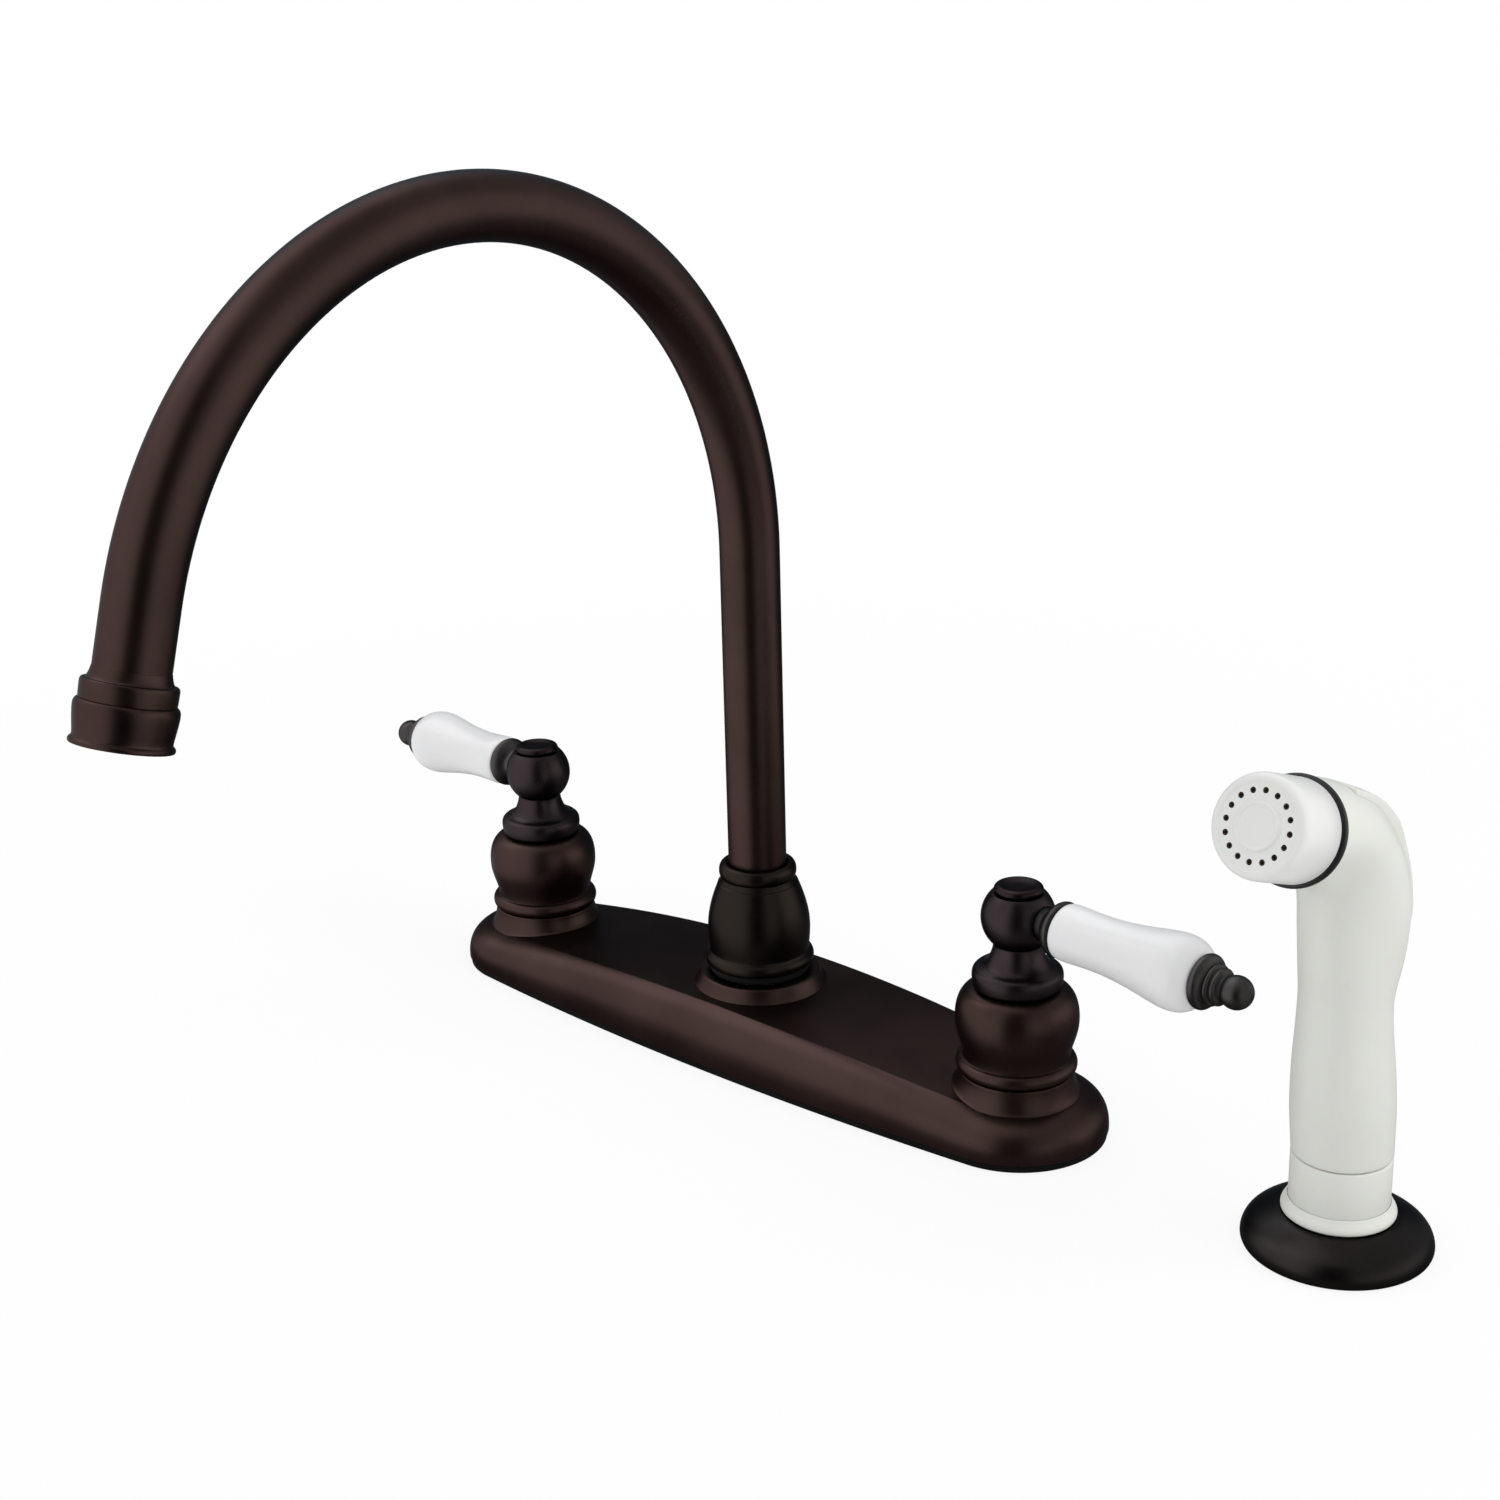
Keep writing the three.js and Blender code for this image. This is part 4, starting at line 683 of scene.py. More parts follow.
def plate_ring(inset_share, height_share):
    """One ring of the plate's side, from its foot (0, 0) to its crease (1, 1)."""
    foot = plate_outline(0.0)
    ring = []
    cache = {}
    for i, (x, _) in enumerate(foot):
        inset = crease_inset(x) * inset_share
        key = round(inset, 5)
        if key not in cache:
            cache[key] = plate_outline(inset)
        qx, qy = cache[key][i]
        ring.append((qx, qy, PLATE_FOOT + (crown(qx) - PLATE_FOOT) * height_share))
    return ring


def follow_crown(piece, x0, top):
    """Lets the foot of a flare follow the crowned top of the plate."""
    for v in piece.data.vertices:
        x = v.co.x / MM
        z = v.co.z / MM
        grow = (top - crown(x)) / (top - crown(x0))
        v.co.z = (top - (top - z) * grow) * MM


def deck_plate():
    """The crowned skin, cut for the valves and the spout, with its three flares."""
    last = math.radians(SIDE_ARC)
    far_in = 1 - math.cos(last) ** SIDE_SQUARE
    far_up = math.sin(last) ** SIDE_SQUARE
    rings = []
    for share in SIDE_SHARES:
        a = last * share
        inward = (1 - math.cos(a) ** SIDE_SQUARE) / far_in
        rings.append(plate_ring(inward, math.sin(a) ** SIDE_SQUARE / far_up))
    crease = rings[-1]
    for share in TOP_SHARES:
        ring = []
        for x, y, _ in crease:
            mx = max(-HALF, min(HALF, x))
            px = x + (mx - x) * share
            ring.append((px, y * (1 - share), crown(px)))
        rings.append(ring)
    skin = ringed("deck_plate_finish", rings)
    thickened(skin, PLATE_WALL * MM)
    for x, r in ((0, SPOUT_BORE), (-HALF, VALVE_BORE), (HALF, VALVE_BORE)):
        bore = turned("bore", [(0, 5), (r, 5), (r, 30), (0, 30)], closed=False, edge=0)
        cut(skin, [place(bore, shift(x, 0, 0))])
    flares = []
    low = crown(HALF)
    for x in VALVES.values():
        flare = turned("flare", [
            (VALVE_BORE, FLARE_TOP), (16.85, FLARE_TOP),
            [(16.95, 19.9), (17.1, 18.8), (17.4, 17.4), (17.8, 16.0), (18.2, 14.9), (18.6, 14.1),
             (19.05, low + 0.12)],
            (19.05, low - 0.9), (VALVE_BORE, low - 0.9),
        ], steps=128, edge=0.16)
        place(flare, shift(x, 0, 0))
        follow_crown(flare, x, FLARE_TOP)
        flares.append(flare)
    flare = turned("flare", [
        (SPOUT_BORE, BOSS_TOP), (18.6, BOSS_TOP),
        [(19.0, 23.95), (19.3, 23.6)],
        [(19.7, 22.8), (20.2, 21.8), (20.8, 20.8), (21.35, 20.05)],
        (21.35, 19.3), (SPOUT_BORE, 19.3),
    ], steps=128, edge=0.2)
    follow_crown(flare, 0.0, BOSS_TOP)
    flares.append(flare)
    plate = joined([skin] + flares, "deck_plate_finish")
    finished(plate, "base", "bronze", ["deck_plate"], angle=32)


def deck_gasket():
    inset = 0.5
    outline = plate_outline(inset)
    rings = [[(x, y, z) for x, y in outline] for z in (0.15, 0.6, 1.4, 1.85)]
    lower = plate_outline(inset + 0.15)
    rings = [[(x, y, 0.0) for x, y in lower]] + rings + [[(x, y, 2.0) for x, y in lower]]
    pad = ringed("deck_gasket_finish", rings, solid=True)
    holes = ((-HALF, 11.1), (0.0, 7.8), (HALF, 11.1))
    cut(pad, [place(rod("hole", r, -2, 4, 64), shift(x, 0, 0)) for x, r in holes])
    finished(pad, "base", "rubber", ["deck_gasket"])


# ------------------------------------------------------------ valves

def lever_matrix(side, x):
    """The lever's own axis: it leaves the hub's ball and droops a little."""
    direction, droop = LEVERS[side]
    tilt = Euler((0, math.radians(90 + droop), math.radians(direction)))
    return shift(x, 0, LEVER_HEIGHT) @ tilt.to_matrix().to_4x4()


def bonnets():
    for side, x in VALVES.items():
        turned_out(side + "_bonnet", "base", "bronze", [
            (14.4, 20.75), (16.9, 20.75),
            [(17.5, 21.2), (17.85, 22.2), (17.85, 23.1), (17.5, 24.0), (16.85, 24.7), (16.25, 25.0)],
            (15.9, 25.15),
            [(15.9, 25.5), (16.0, 26.6), (16.35, 28.2), (16.9, 30.1), (17.5, 32.1), (18.0, 34.3),
             (18.2, 36.6), (18.1, 39.2), (17.65, 41.6), (16.85, 43.6), (15.6, 45.2), (14.0, 46.2),
             (12.4, 46.65)],
            (8.2, 46.7), (8.2, 44.9),
            [(11.6, 43.6), (13.6, 41.6), (14.6, 38.5), (14.8, 34.0), (14.5, 29.0), (14.4, 25.0),
             (14.4, 20.8)],
        ], at=shift(x, 0, 0), angle=34, edge=0.14)


def handle_hubs():
    for side, x in VALVES.items():
        ball = ball_run(68.5, 10.9, -48.0, 43.5)
        hub = turned(side + "_hub_finish", [
            (8.4, 46.95), (12.55, 46.95),
            [(12.9, 47.25), (13.15, 48.2), (13.35, 49.7), (13.3, 51.1), (13.0, 52.0), (12.3, 52.65),
             (11.6, 52.95)],
            [(10.7, 53.25), (9.7, 53.9), (8.85, 54.9), (8.2, 56.1), (7.7, 57.4), (7.35, 58.7), (7.2, 59.7)],
            [(7.2, 60.2), ball[0]],
            ball[1:], (5.7, 76.0), (5.7, 72.8), (2.2, 72.8), (2.2, 61.2), (4.2, 61.2), (4.2, 49.3),
            (8.4, 49.3), (8.4, 47.1),
        ], curve_steps=3, edge=0.1)
        cut(hub, [place(rod("socket", 5.1, 5.5, 15.0, 64), lever_matrix(side, 0))])
        place(hub, shift(x, 0, 0))
        # The hub wears a darker, cooler copy of the bronze: painted shade.
        finished(hub, side + "_handle", "bronze", [side + "_handle_hub"], look="bronze_hub", angle=34)
        # The cap wears a darker, bluer copy of the bronze: painted shade.
        turned_out(side + "_cap", side + "_handle", "bronze", [
            (0, 74.6), (5.3, 74.6), (5.4, 76.3), (6.75, 76.35),
            [(7.1, 76.6), (7.2, 77.1), (7.05, 77.65), (6.65, 78.1), (6.1, 78.35), (5.6, 78.4), (5.0, 78.25),
             (4.0, 77.95), (2.5, 77.75), (0, 77.7)],
        ], node=side + "_index_cap", at=shift(x, 0, 0), look="bronze_cap", angle=34, closed=False, edge=0.06)


def levers():
    for side, x in VALVES.items():
        lever = lever_matrix(side, x)
        turned_out(side + "_collar", side + "_handle", "dark_bronze", [
            (3.2, 7.5), (4.8, 7.5), (4.8, 11.4),
            [(5.1, 12.2), (6.0, 13.1), (7.1, 13.9), (7.9, 14.8), (8.25, 15.6), (8.3, 16.2), (8.0, 16.7)],
            (3.2, 16.7),
        ], node=side + "_lever_collar", at=lever, steps=80)
        turned_out(side + "_grip", side + "_handle", "porcelain", [
            (3.4, 17.0), (7.0, 17.0),
            [(7.8, 17.25), (8.2, 18.0), (8.35, 19.4), (8.3, 22), (8.15, 25.5), (8.1, 29), (8.15, 33),
             (8.4, 37), (8.8, 41), (9.35, 45), (10.0, 49), (10.55, 52.5), (10.9, 55.6), (10.85, 58.2),
             (10.3, 60.7), (9.2, 62.7), (8.05, 63.9), (7.2, 64.5)],
            (3.4, 64.5),
        ], node=side + "_lever_grip", at=lever, steps=96)
        ball = ball_run(75.72, 4.75, -38.0, 90.0)
        turned_out(side + "_finial", side + "_handle", "dark_bronze", [
            (3.2, 64.7), (7.2, 64.7),
            [(7.7, 65.1), (7.9, 65.9), (7.8, 66.6), (7.4, 67.2)],
            [(6.9, 67.4), (6.3, 67.8), (5.9, 68.3)],
            (5.6, 68.35),
            [(5.85, 68.6), (6.0, 69.05), (5.85, 69.5), (5.6, 69.75)],
            (5.0, 69.85), (4.8, 70.2),
            [(5.1, 70.35), (5.35, 70.85), (5.2, 71.4), (4.7, 71.75)],
            (4.0, 71.95),
            [(3.65, 72.4), (3.75, 72.8)],
            ball[0], ball[1:], (0, 69.8), (3.2, 69.8), (3.2, 64.8),
        ], node=side + "_lever_finial", at=lever, steps=80, closed=False, curve_steps=3, edge=0.08)


# ------------------------------------------------------------ spout

def outlet_matrix():
    """The end of the arc, with its own axis running down the outlet."""
    a = math.radians(ARC_ANGLE)
    return (
        about("Z", SPOUT_TURN)
        @ shift(0, -ARC_RADIUS * (1 - math.cos(a)), RISER_TOP + ARC_RADIUS * math.sin(a))
        @ about("X", ARC_ANGLE)
    )


def spout_tube(sizes):
    """A circle drawn up the riser, spun round the arc and drawn into the outlet."""
    deselect()
    bpy.ops.mesh.primitive_circle_add(vertices=TUBE_SIDES, radius=sizes.tube_radius, fill_type="NOTHING")
    tube = named("spout_tube_finish")
    edit_all()
    bpy.ops.transform.translate(value=(0, 0, RISER_FOOT * MM))
    rise = (0, 0, (RISER_TOP - RISER_FOOT) * MM)
    bpy.ops.mesh.extrude_region_move(TRANSFORM_OT_translate={"value": rise})
    a = math.radians(ARC_ANGLE)
    centre = (0, -ARC_RADIUS * MM, RISER_TOP * MM)
    bpy.ops.mesh.spin(steps=ARC_STEPS, angle=a, center=centre, axis=(-1, 0, 0), use_auto_merge=False)
    tail = TUBE_TAIL * MM
    run = (0, -math.sin(a) * tail, math.cos(a) * tail)
    bpy.ops.mesh.extrude_region_move(TRANSFORM_OT_translate={"value": run})
    bpy.ops.mesh.select_all(action="SELECT")
    bpy.ops.mesh.remove_doubles(threshold=WELD)
    bpy.ops.mesh.normals_make_consistent(inside=False)
    bpy.ops.object.mode_set(mode="OBJECT")
    thickened(tube, sizes.tube_wall)
    place(tube, about("Z", SPOUT_TURN))
    finished(tube, "spout", "bronze", ["spout_tube"])


def spout_nut():
    # The nut wears a darker copy of the bronze: painted shade.
    turned_out("spout_nut", "base", "bronze", [
        (14.3, 27.1), (16.8, 27.1),
        [(17.25, 27.5), (17.4, 28.3), (17.35, 29.3), (17.0, 30.1)],
        [(16.4, 30.7), (15.95, 31.3)],
        [(16.0, 32.4), (16.2, 34.6), (16.35, 37.2), (16.35, 39.6), (16.15, 42.0), (15.75, 44.4),
         (15.15, 46.9), (14.4, 49.4), (13.5, 51.9), (12.75, 53.9)],
        (12.35, 54.1),
        [(11.95, 54.9), (11.65, 55.3), (11.6, 55.8)],
        [(12.05, 56.3), (12.3, 57.2), (12.3, 58.4), (12.05, 59.4), (11.5, 60.2), (10.7, 60.55),
         (10.2, 60.6)],
        (9.5, 60.3), (9.5, 37.3), (14.3, 37.3), (14.3, 27.1),
    ], look="bronze_nut_painted_shade", angle=34, edge=0.1)
    turned_out("foot_washer", "base", "black_plastic", [
        (14.3, 24.4), (15.7, 24.4),
        [(16.0, 24.8), (16.0, 26.4), (15.7, 26.8)],
        (14.3, 26.8), (14.3, 24.4),
    ], node="spout_foot_washer", look="rubber", edge=0)


def spout_outlet():
    matrix = outlet_matrix()
    turned_out("end_collar", "spout", "bronze", [
        (9.22, 15.4), (9.26, 15.4),
        [(9.4, 16.1), (9.65, 17.0), (10.0, 17.8), (10.35, 18.2)],
        [(10.9, 18.25), (11.25, 18.5), (11.42, 19.0), (11.45, 20.3), (11.4, 22.0), (11.35, 23.0)],
        (10.5, 23.0), (10.5, 27.0), (8.2, 27.0), (8.2, 21.7), (9.22, 21.7), (9.22, 15.4),
    ], node="spout_end_collar", at=matrix)
    turned_out("aerator_shell", "spout", "bronze", [
        (10.8, 23.0), (11.4, 23.0),
        [(11.75, 23.2), (12.05, 23.6), (12.25, 24.2), (12.3, 25.2), (12.15, 27.0), (11.9, 29.0),
         (11.65, 30.8), (11.6, 31.6)],
        [(11.75, 32.1), (12.1, 32.4), (12.3, 32.7)],
        [(12.3, 33.3), (12.1, 33.6)],
        [(11.0, 33.7), (9.6, 33.65)],
        (9.55, 32.6), (10.8, 32.6), (10.8, 23.0),
    ], at=matrix)


# ------------------------------------------------------------ side spray

def spray_matrix():
    """The spray in its stand: its own frame has the handle upright."""
    return shift(*SPRAY_PLACE) @ about("Z", SPRAY_TURN)


def head_matrix():
    """The spray's head, its axis running out of the nozzle."""
    return spray_matrix() @ shift(*HEAD_CENTRE) @ about("X", 90 - HEAD_TILT)


def spray_base():
    # The flange wears a darker, cooler copy of the bronze: painted shade.
    turned_out("spray_flange", "base", "bronze", [
        (22.6, 0.0), (24.7, 0.0),
        [(25.2, 0.25), (25.55, 1.0), (25.6, 2.0), (25.35, 3.2), (24.7, 4.6), (23.6, 5.9), (22.1, 7.0),
         (20.2, 8.0), (18.2, 8.9), (16.6, 9.5), (15.6, 9.7)],
        (14.4, 9.7), (14.4, 7.5), (20.1, 5.3), (22.6, 0.0),
    ], at=shift(*SPRAY_PLACE), look="bronze_flange_painted_shade", steps=128)
    turned_out("spray_guide", "base", "white_plastic", [
        (11.5, -28), (13.3, -28), *thread(14.0, 0.7, -28, -1.5, 2.2), (14.0, -1.5), (14.0, 10.0),
        (14.8, 10.0),
        [(15.2, 10.3), (15.3, 10.9), (15.1, 11.7), (14.65, 12.5), (14.2, 13.2), (13.95, 13.75),
         (13.8, 14.0)],
        (13.58, 14.0), (13.56, 13.3), (12.7, 13.3), (11.5, 9.2), (11.5, -28),
    ], at=shift(*SPRAY_PLACE))
    turned_out("spray_coupling", "spray_swivel", "white_plastic", [
        (4.5, -6), (8.6, -6),
        [(9.9, -5.4), (10.7, -4.4), (10.95, -3.4)],
        (11.1, 13.5), (13.2, 13.5), (13.45, 13.8), (13.45, 26.9), (13.1, 27.3), (7.3, 27.3), (7.3, 18.3),
        (4.5, 18.3), (4.5, -6),
    ], at=shift(*SPRAY_PLACE))


def head_row(back, drop, tilt, half, depth):
    """A section of the neck, placed from the head's own axis."""
    a = math.radians(HEAD_TILT)
    forward = -HEAD_CENTRE[1] - back * math.cos(a) + drop * math.sin(a)
    up = HEAD_CENTRE[2] - back * math.sin(a) - drop * math.cos(a)
    return forward, up, tilt, half, depth


def handle_rows():
    """Sections of the spray's handle: forward, height, tilt, half width, depth."""
    low = HANDLE_FOOT
    rows = [
        (0, low + 0.6, 0, 13.45, 13.45),
        (0.6, low + 7, 0, 13.65, 13.65),
        (1.2, low + 14, 0, 13.8, 13.8),
        (2.1, low + 25, 0, 13.4, 13.5),
        (2.9, low + 36, 0, 12.55, 12.75),
        (3.2, low + 42.5, 0, 12.2, 12.35),
        (3.2, low + 45.5, 0, 12.15, 12.35),
        (2.85, low + 49.5, 0, 12.3, 13.0),
        (2.05, low + 55, 0, 12.75, 14.7),
        (1.55, low + 66.6, 8, 13.45, 16.2),
        head_row(35.3, 11.1, 16.8, 13.4, 15.6),
        head_row(27.6, 4.1, 31.7, 13.1, 13.8),
        head_row(17.4, -0.1, 49.9, 13.3, 13.2),
        head_row(7.8, -0.7, 62.8, 13.5, 13.3),
        head_row(NOZZLE_FOOT, 0, 90 - HEAD_TILT, 13.6, 13.55),
    ]
    return smooth_run(rows, 5)


def spray_body():
    low = HANDLE_FOOT
    fine = [(0, low, 0, 12.95, 12.95), (0, low + 0.25, 0, 13.3, 13.3)] + handle_rows()
    count = 64
    rings = []
    for forward, up, tilt, half, depth in fine:
        t = math.radians(tilt)
        ring = []
        for i in range(count):
            a = 2 * math.pi * i / count
            d = depth * math.sin(a)
            ring.append((half * math.cos(a), -forward + d * math.cos(t), up + d * math.sin(t)))
        rings.append(ring)
    return ringed("spray_body_finish", rings, solid=True)


BACK_R = 13.4  # half width of the handle behind the trigger
BACK_DEPTHS = (13.3, 2.4)  # its depth at the pivot, and what it gains to the low end
TRIGGER_KNOTS = [
    (-17.2, 136.4), (-13.2, 134.7), (-8.3, 132.4), (-3.6, 129.7), (0.3, 126.7), (6.1, 121.0),
    (10.6, 112.6), (13.9, 104.6), (15.4, 98.0), (15.8, 94.5), (15.3, 91),
]


def plate_along(name, knots, inner, outer, width, bend=0, round_edge=0):
    """A strip that follows the handle's back and bends a little round it."""
    line = smooth_run(knots, 3)
    upper, lower = [], []
    for i, (y, z) in enumerate(line):
        a = Vector(line[max(0, i - 1)])
        b = Vector(line[min(len(line) - 1, i + 1)])
        d = (b - a).normalized()
        n = Vector((-d.y, d.x))
        upper.append((y, z, n, outer, i))
        lower.append((y, z, n, -inner, i))
    outline = upper + lower[::-1]
    half = width / 2
    across = 10
    rings = []
    for k in range(across + 1):
        x = -half + width * k / across
        fall = bend * (1 - math.sqrt(1 - (x / BACK_R) ** 2))
        ring = []
        for y, z, n, out, i in outline:
            drop = fall * (BACK_DEPTHS[0] + BACK_DEPTHS[1] * i / (len(line) - 1))
            ring.append((x, y + n.x * (out - drop), z + n.y * (out - drop)))
        rings.append(ring)
    strip = ringed(name, rings, solid=True)
    if round_edge:
        soften(strip, round_edge, 3, 50)
    return strip


def spray_handle():
    matrix = spray_matrix()
    body = spray_body()
    reach = [(-17.4, 136.5)] + TRIGGER_KNOTS[1:] + [(14.9, 87.9)]
    pocket = plate_along("pocket", reach, inner=8.1, outer=5.0, width=15.7)
    bore = rod("bore", 2.4, -8.0, 16.0, 24)
    place(bore, shift(0, 0, PLUNGER_HEIGHT) @ about("X", -90))
    cut(body, [pocket, bore])
    spigot = rod("spigot", 7.0, 18.8, 29.0, 48)
    body = joined([body, spigot], "spray_body_finish")
    soften(body, 0.25, 2, 50)
    place(body, matrix)
    finished(body, "sprayer", "white_plastic", ["spray_body"], angle=45)
    trigger = plate_along(
        "spray_trigger_finish", TRIGGER_KNOTS, inner=3.5, outer=0.5, width=15.1, bend=0.35, round_edge=0.6
    )
    lug = rod("lug", 2.4, -7.0, 7.0, 32)
    place(lug, shift(*TRIGGER_PIVOT) @ about("Y", 90))
    trigger = joined([trigger, lug], "spray_trigger_finish")
    place(trigger, matrix)
    finished(trigger, "trigger", "white_plastic", ["spray_trigger"], angle=45)


def trigger_pin():
    pin = rod("spray_pin_finish", 1.0, -8.0, 8.0, 32)
    soften(pin, 0.3, 3, 40)
    place(pin, spray_matrix() @ shift(*TRIGGER_PIVOT) @ about("Y", 90))
    finished(pin, "sprayer", "steel", ["spray_trigger_pin"])


def spray_head(sizes):
    matrix = head_matrix()
    turned_out("spray_ring", "sprayer", "black_plastic", [
        (9.8, -0.95), (13.7, -0.95),
        [(14.0, -0.7), (14.15, 0.0), (14.0, 0.7), (13.7, 0.95)],
        (9.8, 0.95), (9.8, -0.95),
    ], at=matrix, edge=0)
    z = NOZZLE_FOOT
    end = z + NOZZLE_LENGTH
    nozzle = turned("spray_nozzle_finish", [
        (11.2, z), (13.1, z), (13.2, z + 0.2), (13.2, end - 3.4),
        [(13.15, end - 2.2), (12.95, end - 1.2), (12.5, end - 0.45), (11.9, end - 0.05), (11.3, end + 0.05),
         (10.9, end - 0.05), (10.6, end - 0.2)],
        (6.35, end - 0.2),
        [(6.15, end - 0.1), (5.95, end + 0.25), (5.7, end + 0.42), (5.4, end + 0.4), (5.15, end + 0.25),
         (4.95, end + 0.2)],
        [(3.0, end + 0.2), (0, end + 0.2)],
        (0, end - 2.5), (11.2, end - 2.5), (11.2, z),
    ], closed=False, edge=0.08)
    drills, hole_plugs = [], []
    radius = sizes.hole_radius / MM
    for i in range(sizes.spray_holes):
        a = 2 * math.pi * i / sizes.spray_holes
        spot = shift(HOLE_CIRCLE * math.cos(a), HOLE_CIRCLE * math.sin(a), 0)
        drills.append(place(rod("drill", radius, end - 4, end + 1, 16), spot))
        # A dark plug sunk in each hole: painted shade, standing in for the shade inside the hole.
        jet = turned("jet", [
            (0.3, end - 3.2), (radius + 0.3, end - 3.2), (radius + 0.3, end - 2.52),
            (radius - 0.01, end - 2.52), (radius - 0.01, end - 0.34), (0.34, end - 0.34), (0.3, end - 3.2),
        ], steps=16, edge=0.04)
        hole_plugs.append(place(jet, spot))
    hole_plugs = joined(hole_plugs, "spray_jets")
    place(hole_plugs, matrix)
    finished(hole_plugs, "sprayer", "rubber", [], look="jet_rubber")
    cut(nozzle, [joined(drills, "drill")])
    place(nozzle, matrix)
    # The nozzle wears a lighter copy of the spray's plastic: painted light.
    finished(nozzle, "sprayer", "white_plastic", ["spray_nozzle"], look="nozzle_plastic", angle=34)


# ------------------------------------------------------------ fixings and inner pieces

DECK_UNDER = -8.5  # top of what is tightened against the deck
WASHER_UNDER = -10.0
NUT_TOP = -10.3
NUT_T = 8.2
SHANK_BORE = 10.75
CROSSBAR_HEIGHT = 7.0
WING_CORNERS = (  # radius, angle from the wing's middle
    (14.5, -0.52), (15.2, -0.40), (20.3, -0.21), (21.0, -0.15),
    (21.0, 0.15), (20.3, 0.21), (15.2, 0.40), (14.5, 0.52),
)
AERATOR_SPAN = (28.5, 32.3)
AERATOR_R = 10.2
CELL_ROWS = ((1, 0.0, 0.85), (6, 2.5, 0.85), (12, 4.8, 0.85), (18, 7.0, 0.8))  # count, at, radius


def waterway():
    parts = []
    for x in VALVES.values():
        tower = turned("tower", [
            (6.0, -48), (9.5, -48), *thread(10.3, 0.8, -48, 1.6, 1.8), (10.3, 1.6), (10.3, 2.3),
            (12.6, 2.3), (12.6, 16.0), (10.4, 17.2), (10.4, 23.0), (8.9, 23.0), (8.9, 6.0), (6.0, 6.0),
            (6.0, -48),
        ], steps=64, edge=0)
        parts.append(place(tower, shift(x, 0, 0)))
    socket = turned("socket", [
        (3.6, -24), (6.3, -24), *thread(7.0, 0.6, -24, 1.6, 1.4), (7.0, 1.6), (7.0, 2.3), (12.6, 2.3),
        (12.6, 16.0), (13.3, 17.2), *thread(14.0, 0.7, 17.2, 33.0, 1.6), (14.0, 33.0), (10.2, 33.0),
        (10.2, 13.5), (6.2, 13.5), (6.2, -2.0), (3.6, -2.0), (3.6, -24),
    ], steps=64, edge=0)
    parts.append(socket)
    for low, high in ((-90.0, -11.6), (11.6, 90.0)):
        arm = turned("arm", [
            (3.4, low), (4.6, low), (4.6, high), (3.4, high), (3.4, low),
        ], steps=32, edge=0.2)
        parts.append(place(arm, shift(0, 0, CROSSBAR_HEIGHT) @ about("Y", 90)))
    casting = joined(parts, "waterway_finish")
    finished(casting, "base", "brass", ["waterway_body"], angle=34)


def mounting_nuts():
    outline = []
    for wing in range(4):
        middle = math.pi / 2 * wing + math.pi / 4
        for r, d in WING_CORNERS:
            outline.append((r * math.cos(middle + d), r * math.sin(middle + d)))
    rings = [[(px, py, z) for px, py in outline] for z in (NUT_TOP - NUT_T, NUT_TOP)]
    for side, x in VALVES.items():
        nut = ringed("nut", rings, solid=True)
        soften(nut, 0.7, 3, 20)
        cut(nut, [rod("bore", SHANK_BORE, NUT_TOP - 12, NUT_TOP + 4, 64)])
        renamed(nut, side + "_mounting_nut_finish")
        place(nut, shift(x, 0, 0))
        finished(nut, "base", "brass", [side + "_mounting_nut"], angle=34)
        turned_out(side + "_mounting_washer", "base", "steel", [
            (SHANK_BORE, WASHER_UNDER), (20.0, WASHER_UNDER), (20.0, DECK_UNDER),
            (SHANK_BORE, DECK_UNDER), (SHANK_BORE, WASHER_UNDER),
        ], at=shift(x, 0, 0), edge=0.3)


def spray_fittings():
    hexagon = rod("nipple", 7.6, -31.3, -24.3, 6)
    soften(hexagon, 0.5, 3, 30)
    barbs = turned("barbs", [
        (2.6, -43.0), (4.2, -43.0), (5.2, -40.2), (5.2, -39.8), (4.3, -39.7), (5.2, -37.2), (5.2, -36.8),
        (4.3, -36.7), (5.0, -34.2), (4.4, -34.0), (4.4, -31.0), (2.6, -31.0), (2.6, -43.0),
    ], steps=64, edge=0.06)
    cut(hexagon, [rod("bore", 2.6, -34, -22, 32)])
    nipple = joined([hexagon, barbs], "spray_nipple_finish")
    finished(nipple, "base", "brass", ["spray_outlet_nipple"], angle=34)
    nut = rod("nut", 19.0, -15.0, DECK_UNDER, 8)
    soften(nut, 1.1, 4, 30)
    cut(nut, [rod("bore", 14.3, -18, -6, 72)])
    renamed(nut, "spray_guide_nut_finish")
    place(nut, shift(*SPRAY_PLACE))
    finished(nut, "base", "nylon", ["spray_guide_nut"], angle=34)


def aerator():
    """The water's straightener inside the outlet, with its ring of cells."""
    matrix = outlet_matrix()
    low, high = AERATOR_SPAN
    insert = turned("aerator_insert_finish", [
        (0, low), (AERATOR_R, low), (AERATOR_R, high), (8.2, high), (8.0, high - 0.5), (0, high - 0.5),
    ], steps=64, closed=False, edge=0.1)
    cells = []
    for count, radius, size in CELL_ROWS:
        for i in range(count):
            a = 2 * math.pi * i / count
            cell = rod("cell", size, low - 1, high + 1, 6)
            cells.append(place(cell, shift(radius * math.cos(a), radius * math.sin(a), 0)))
    cut(insert, [joined(cells, "cells")])
    place(insert, matrix)
    finished(insert, "spout", "nylon", ["aerator_insert"], angle=34)


# ------------------------------------------------------------ stage

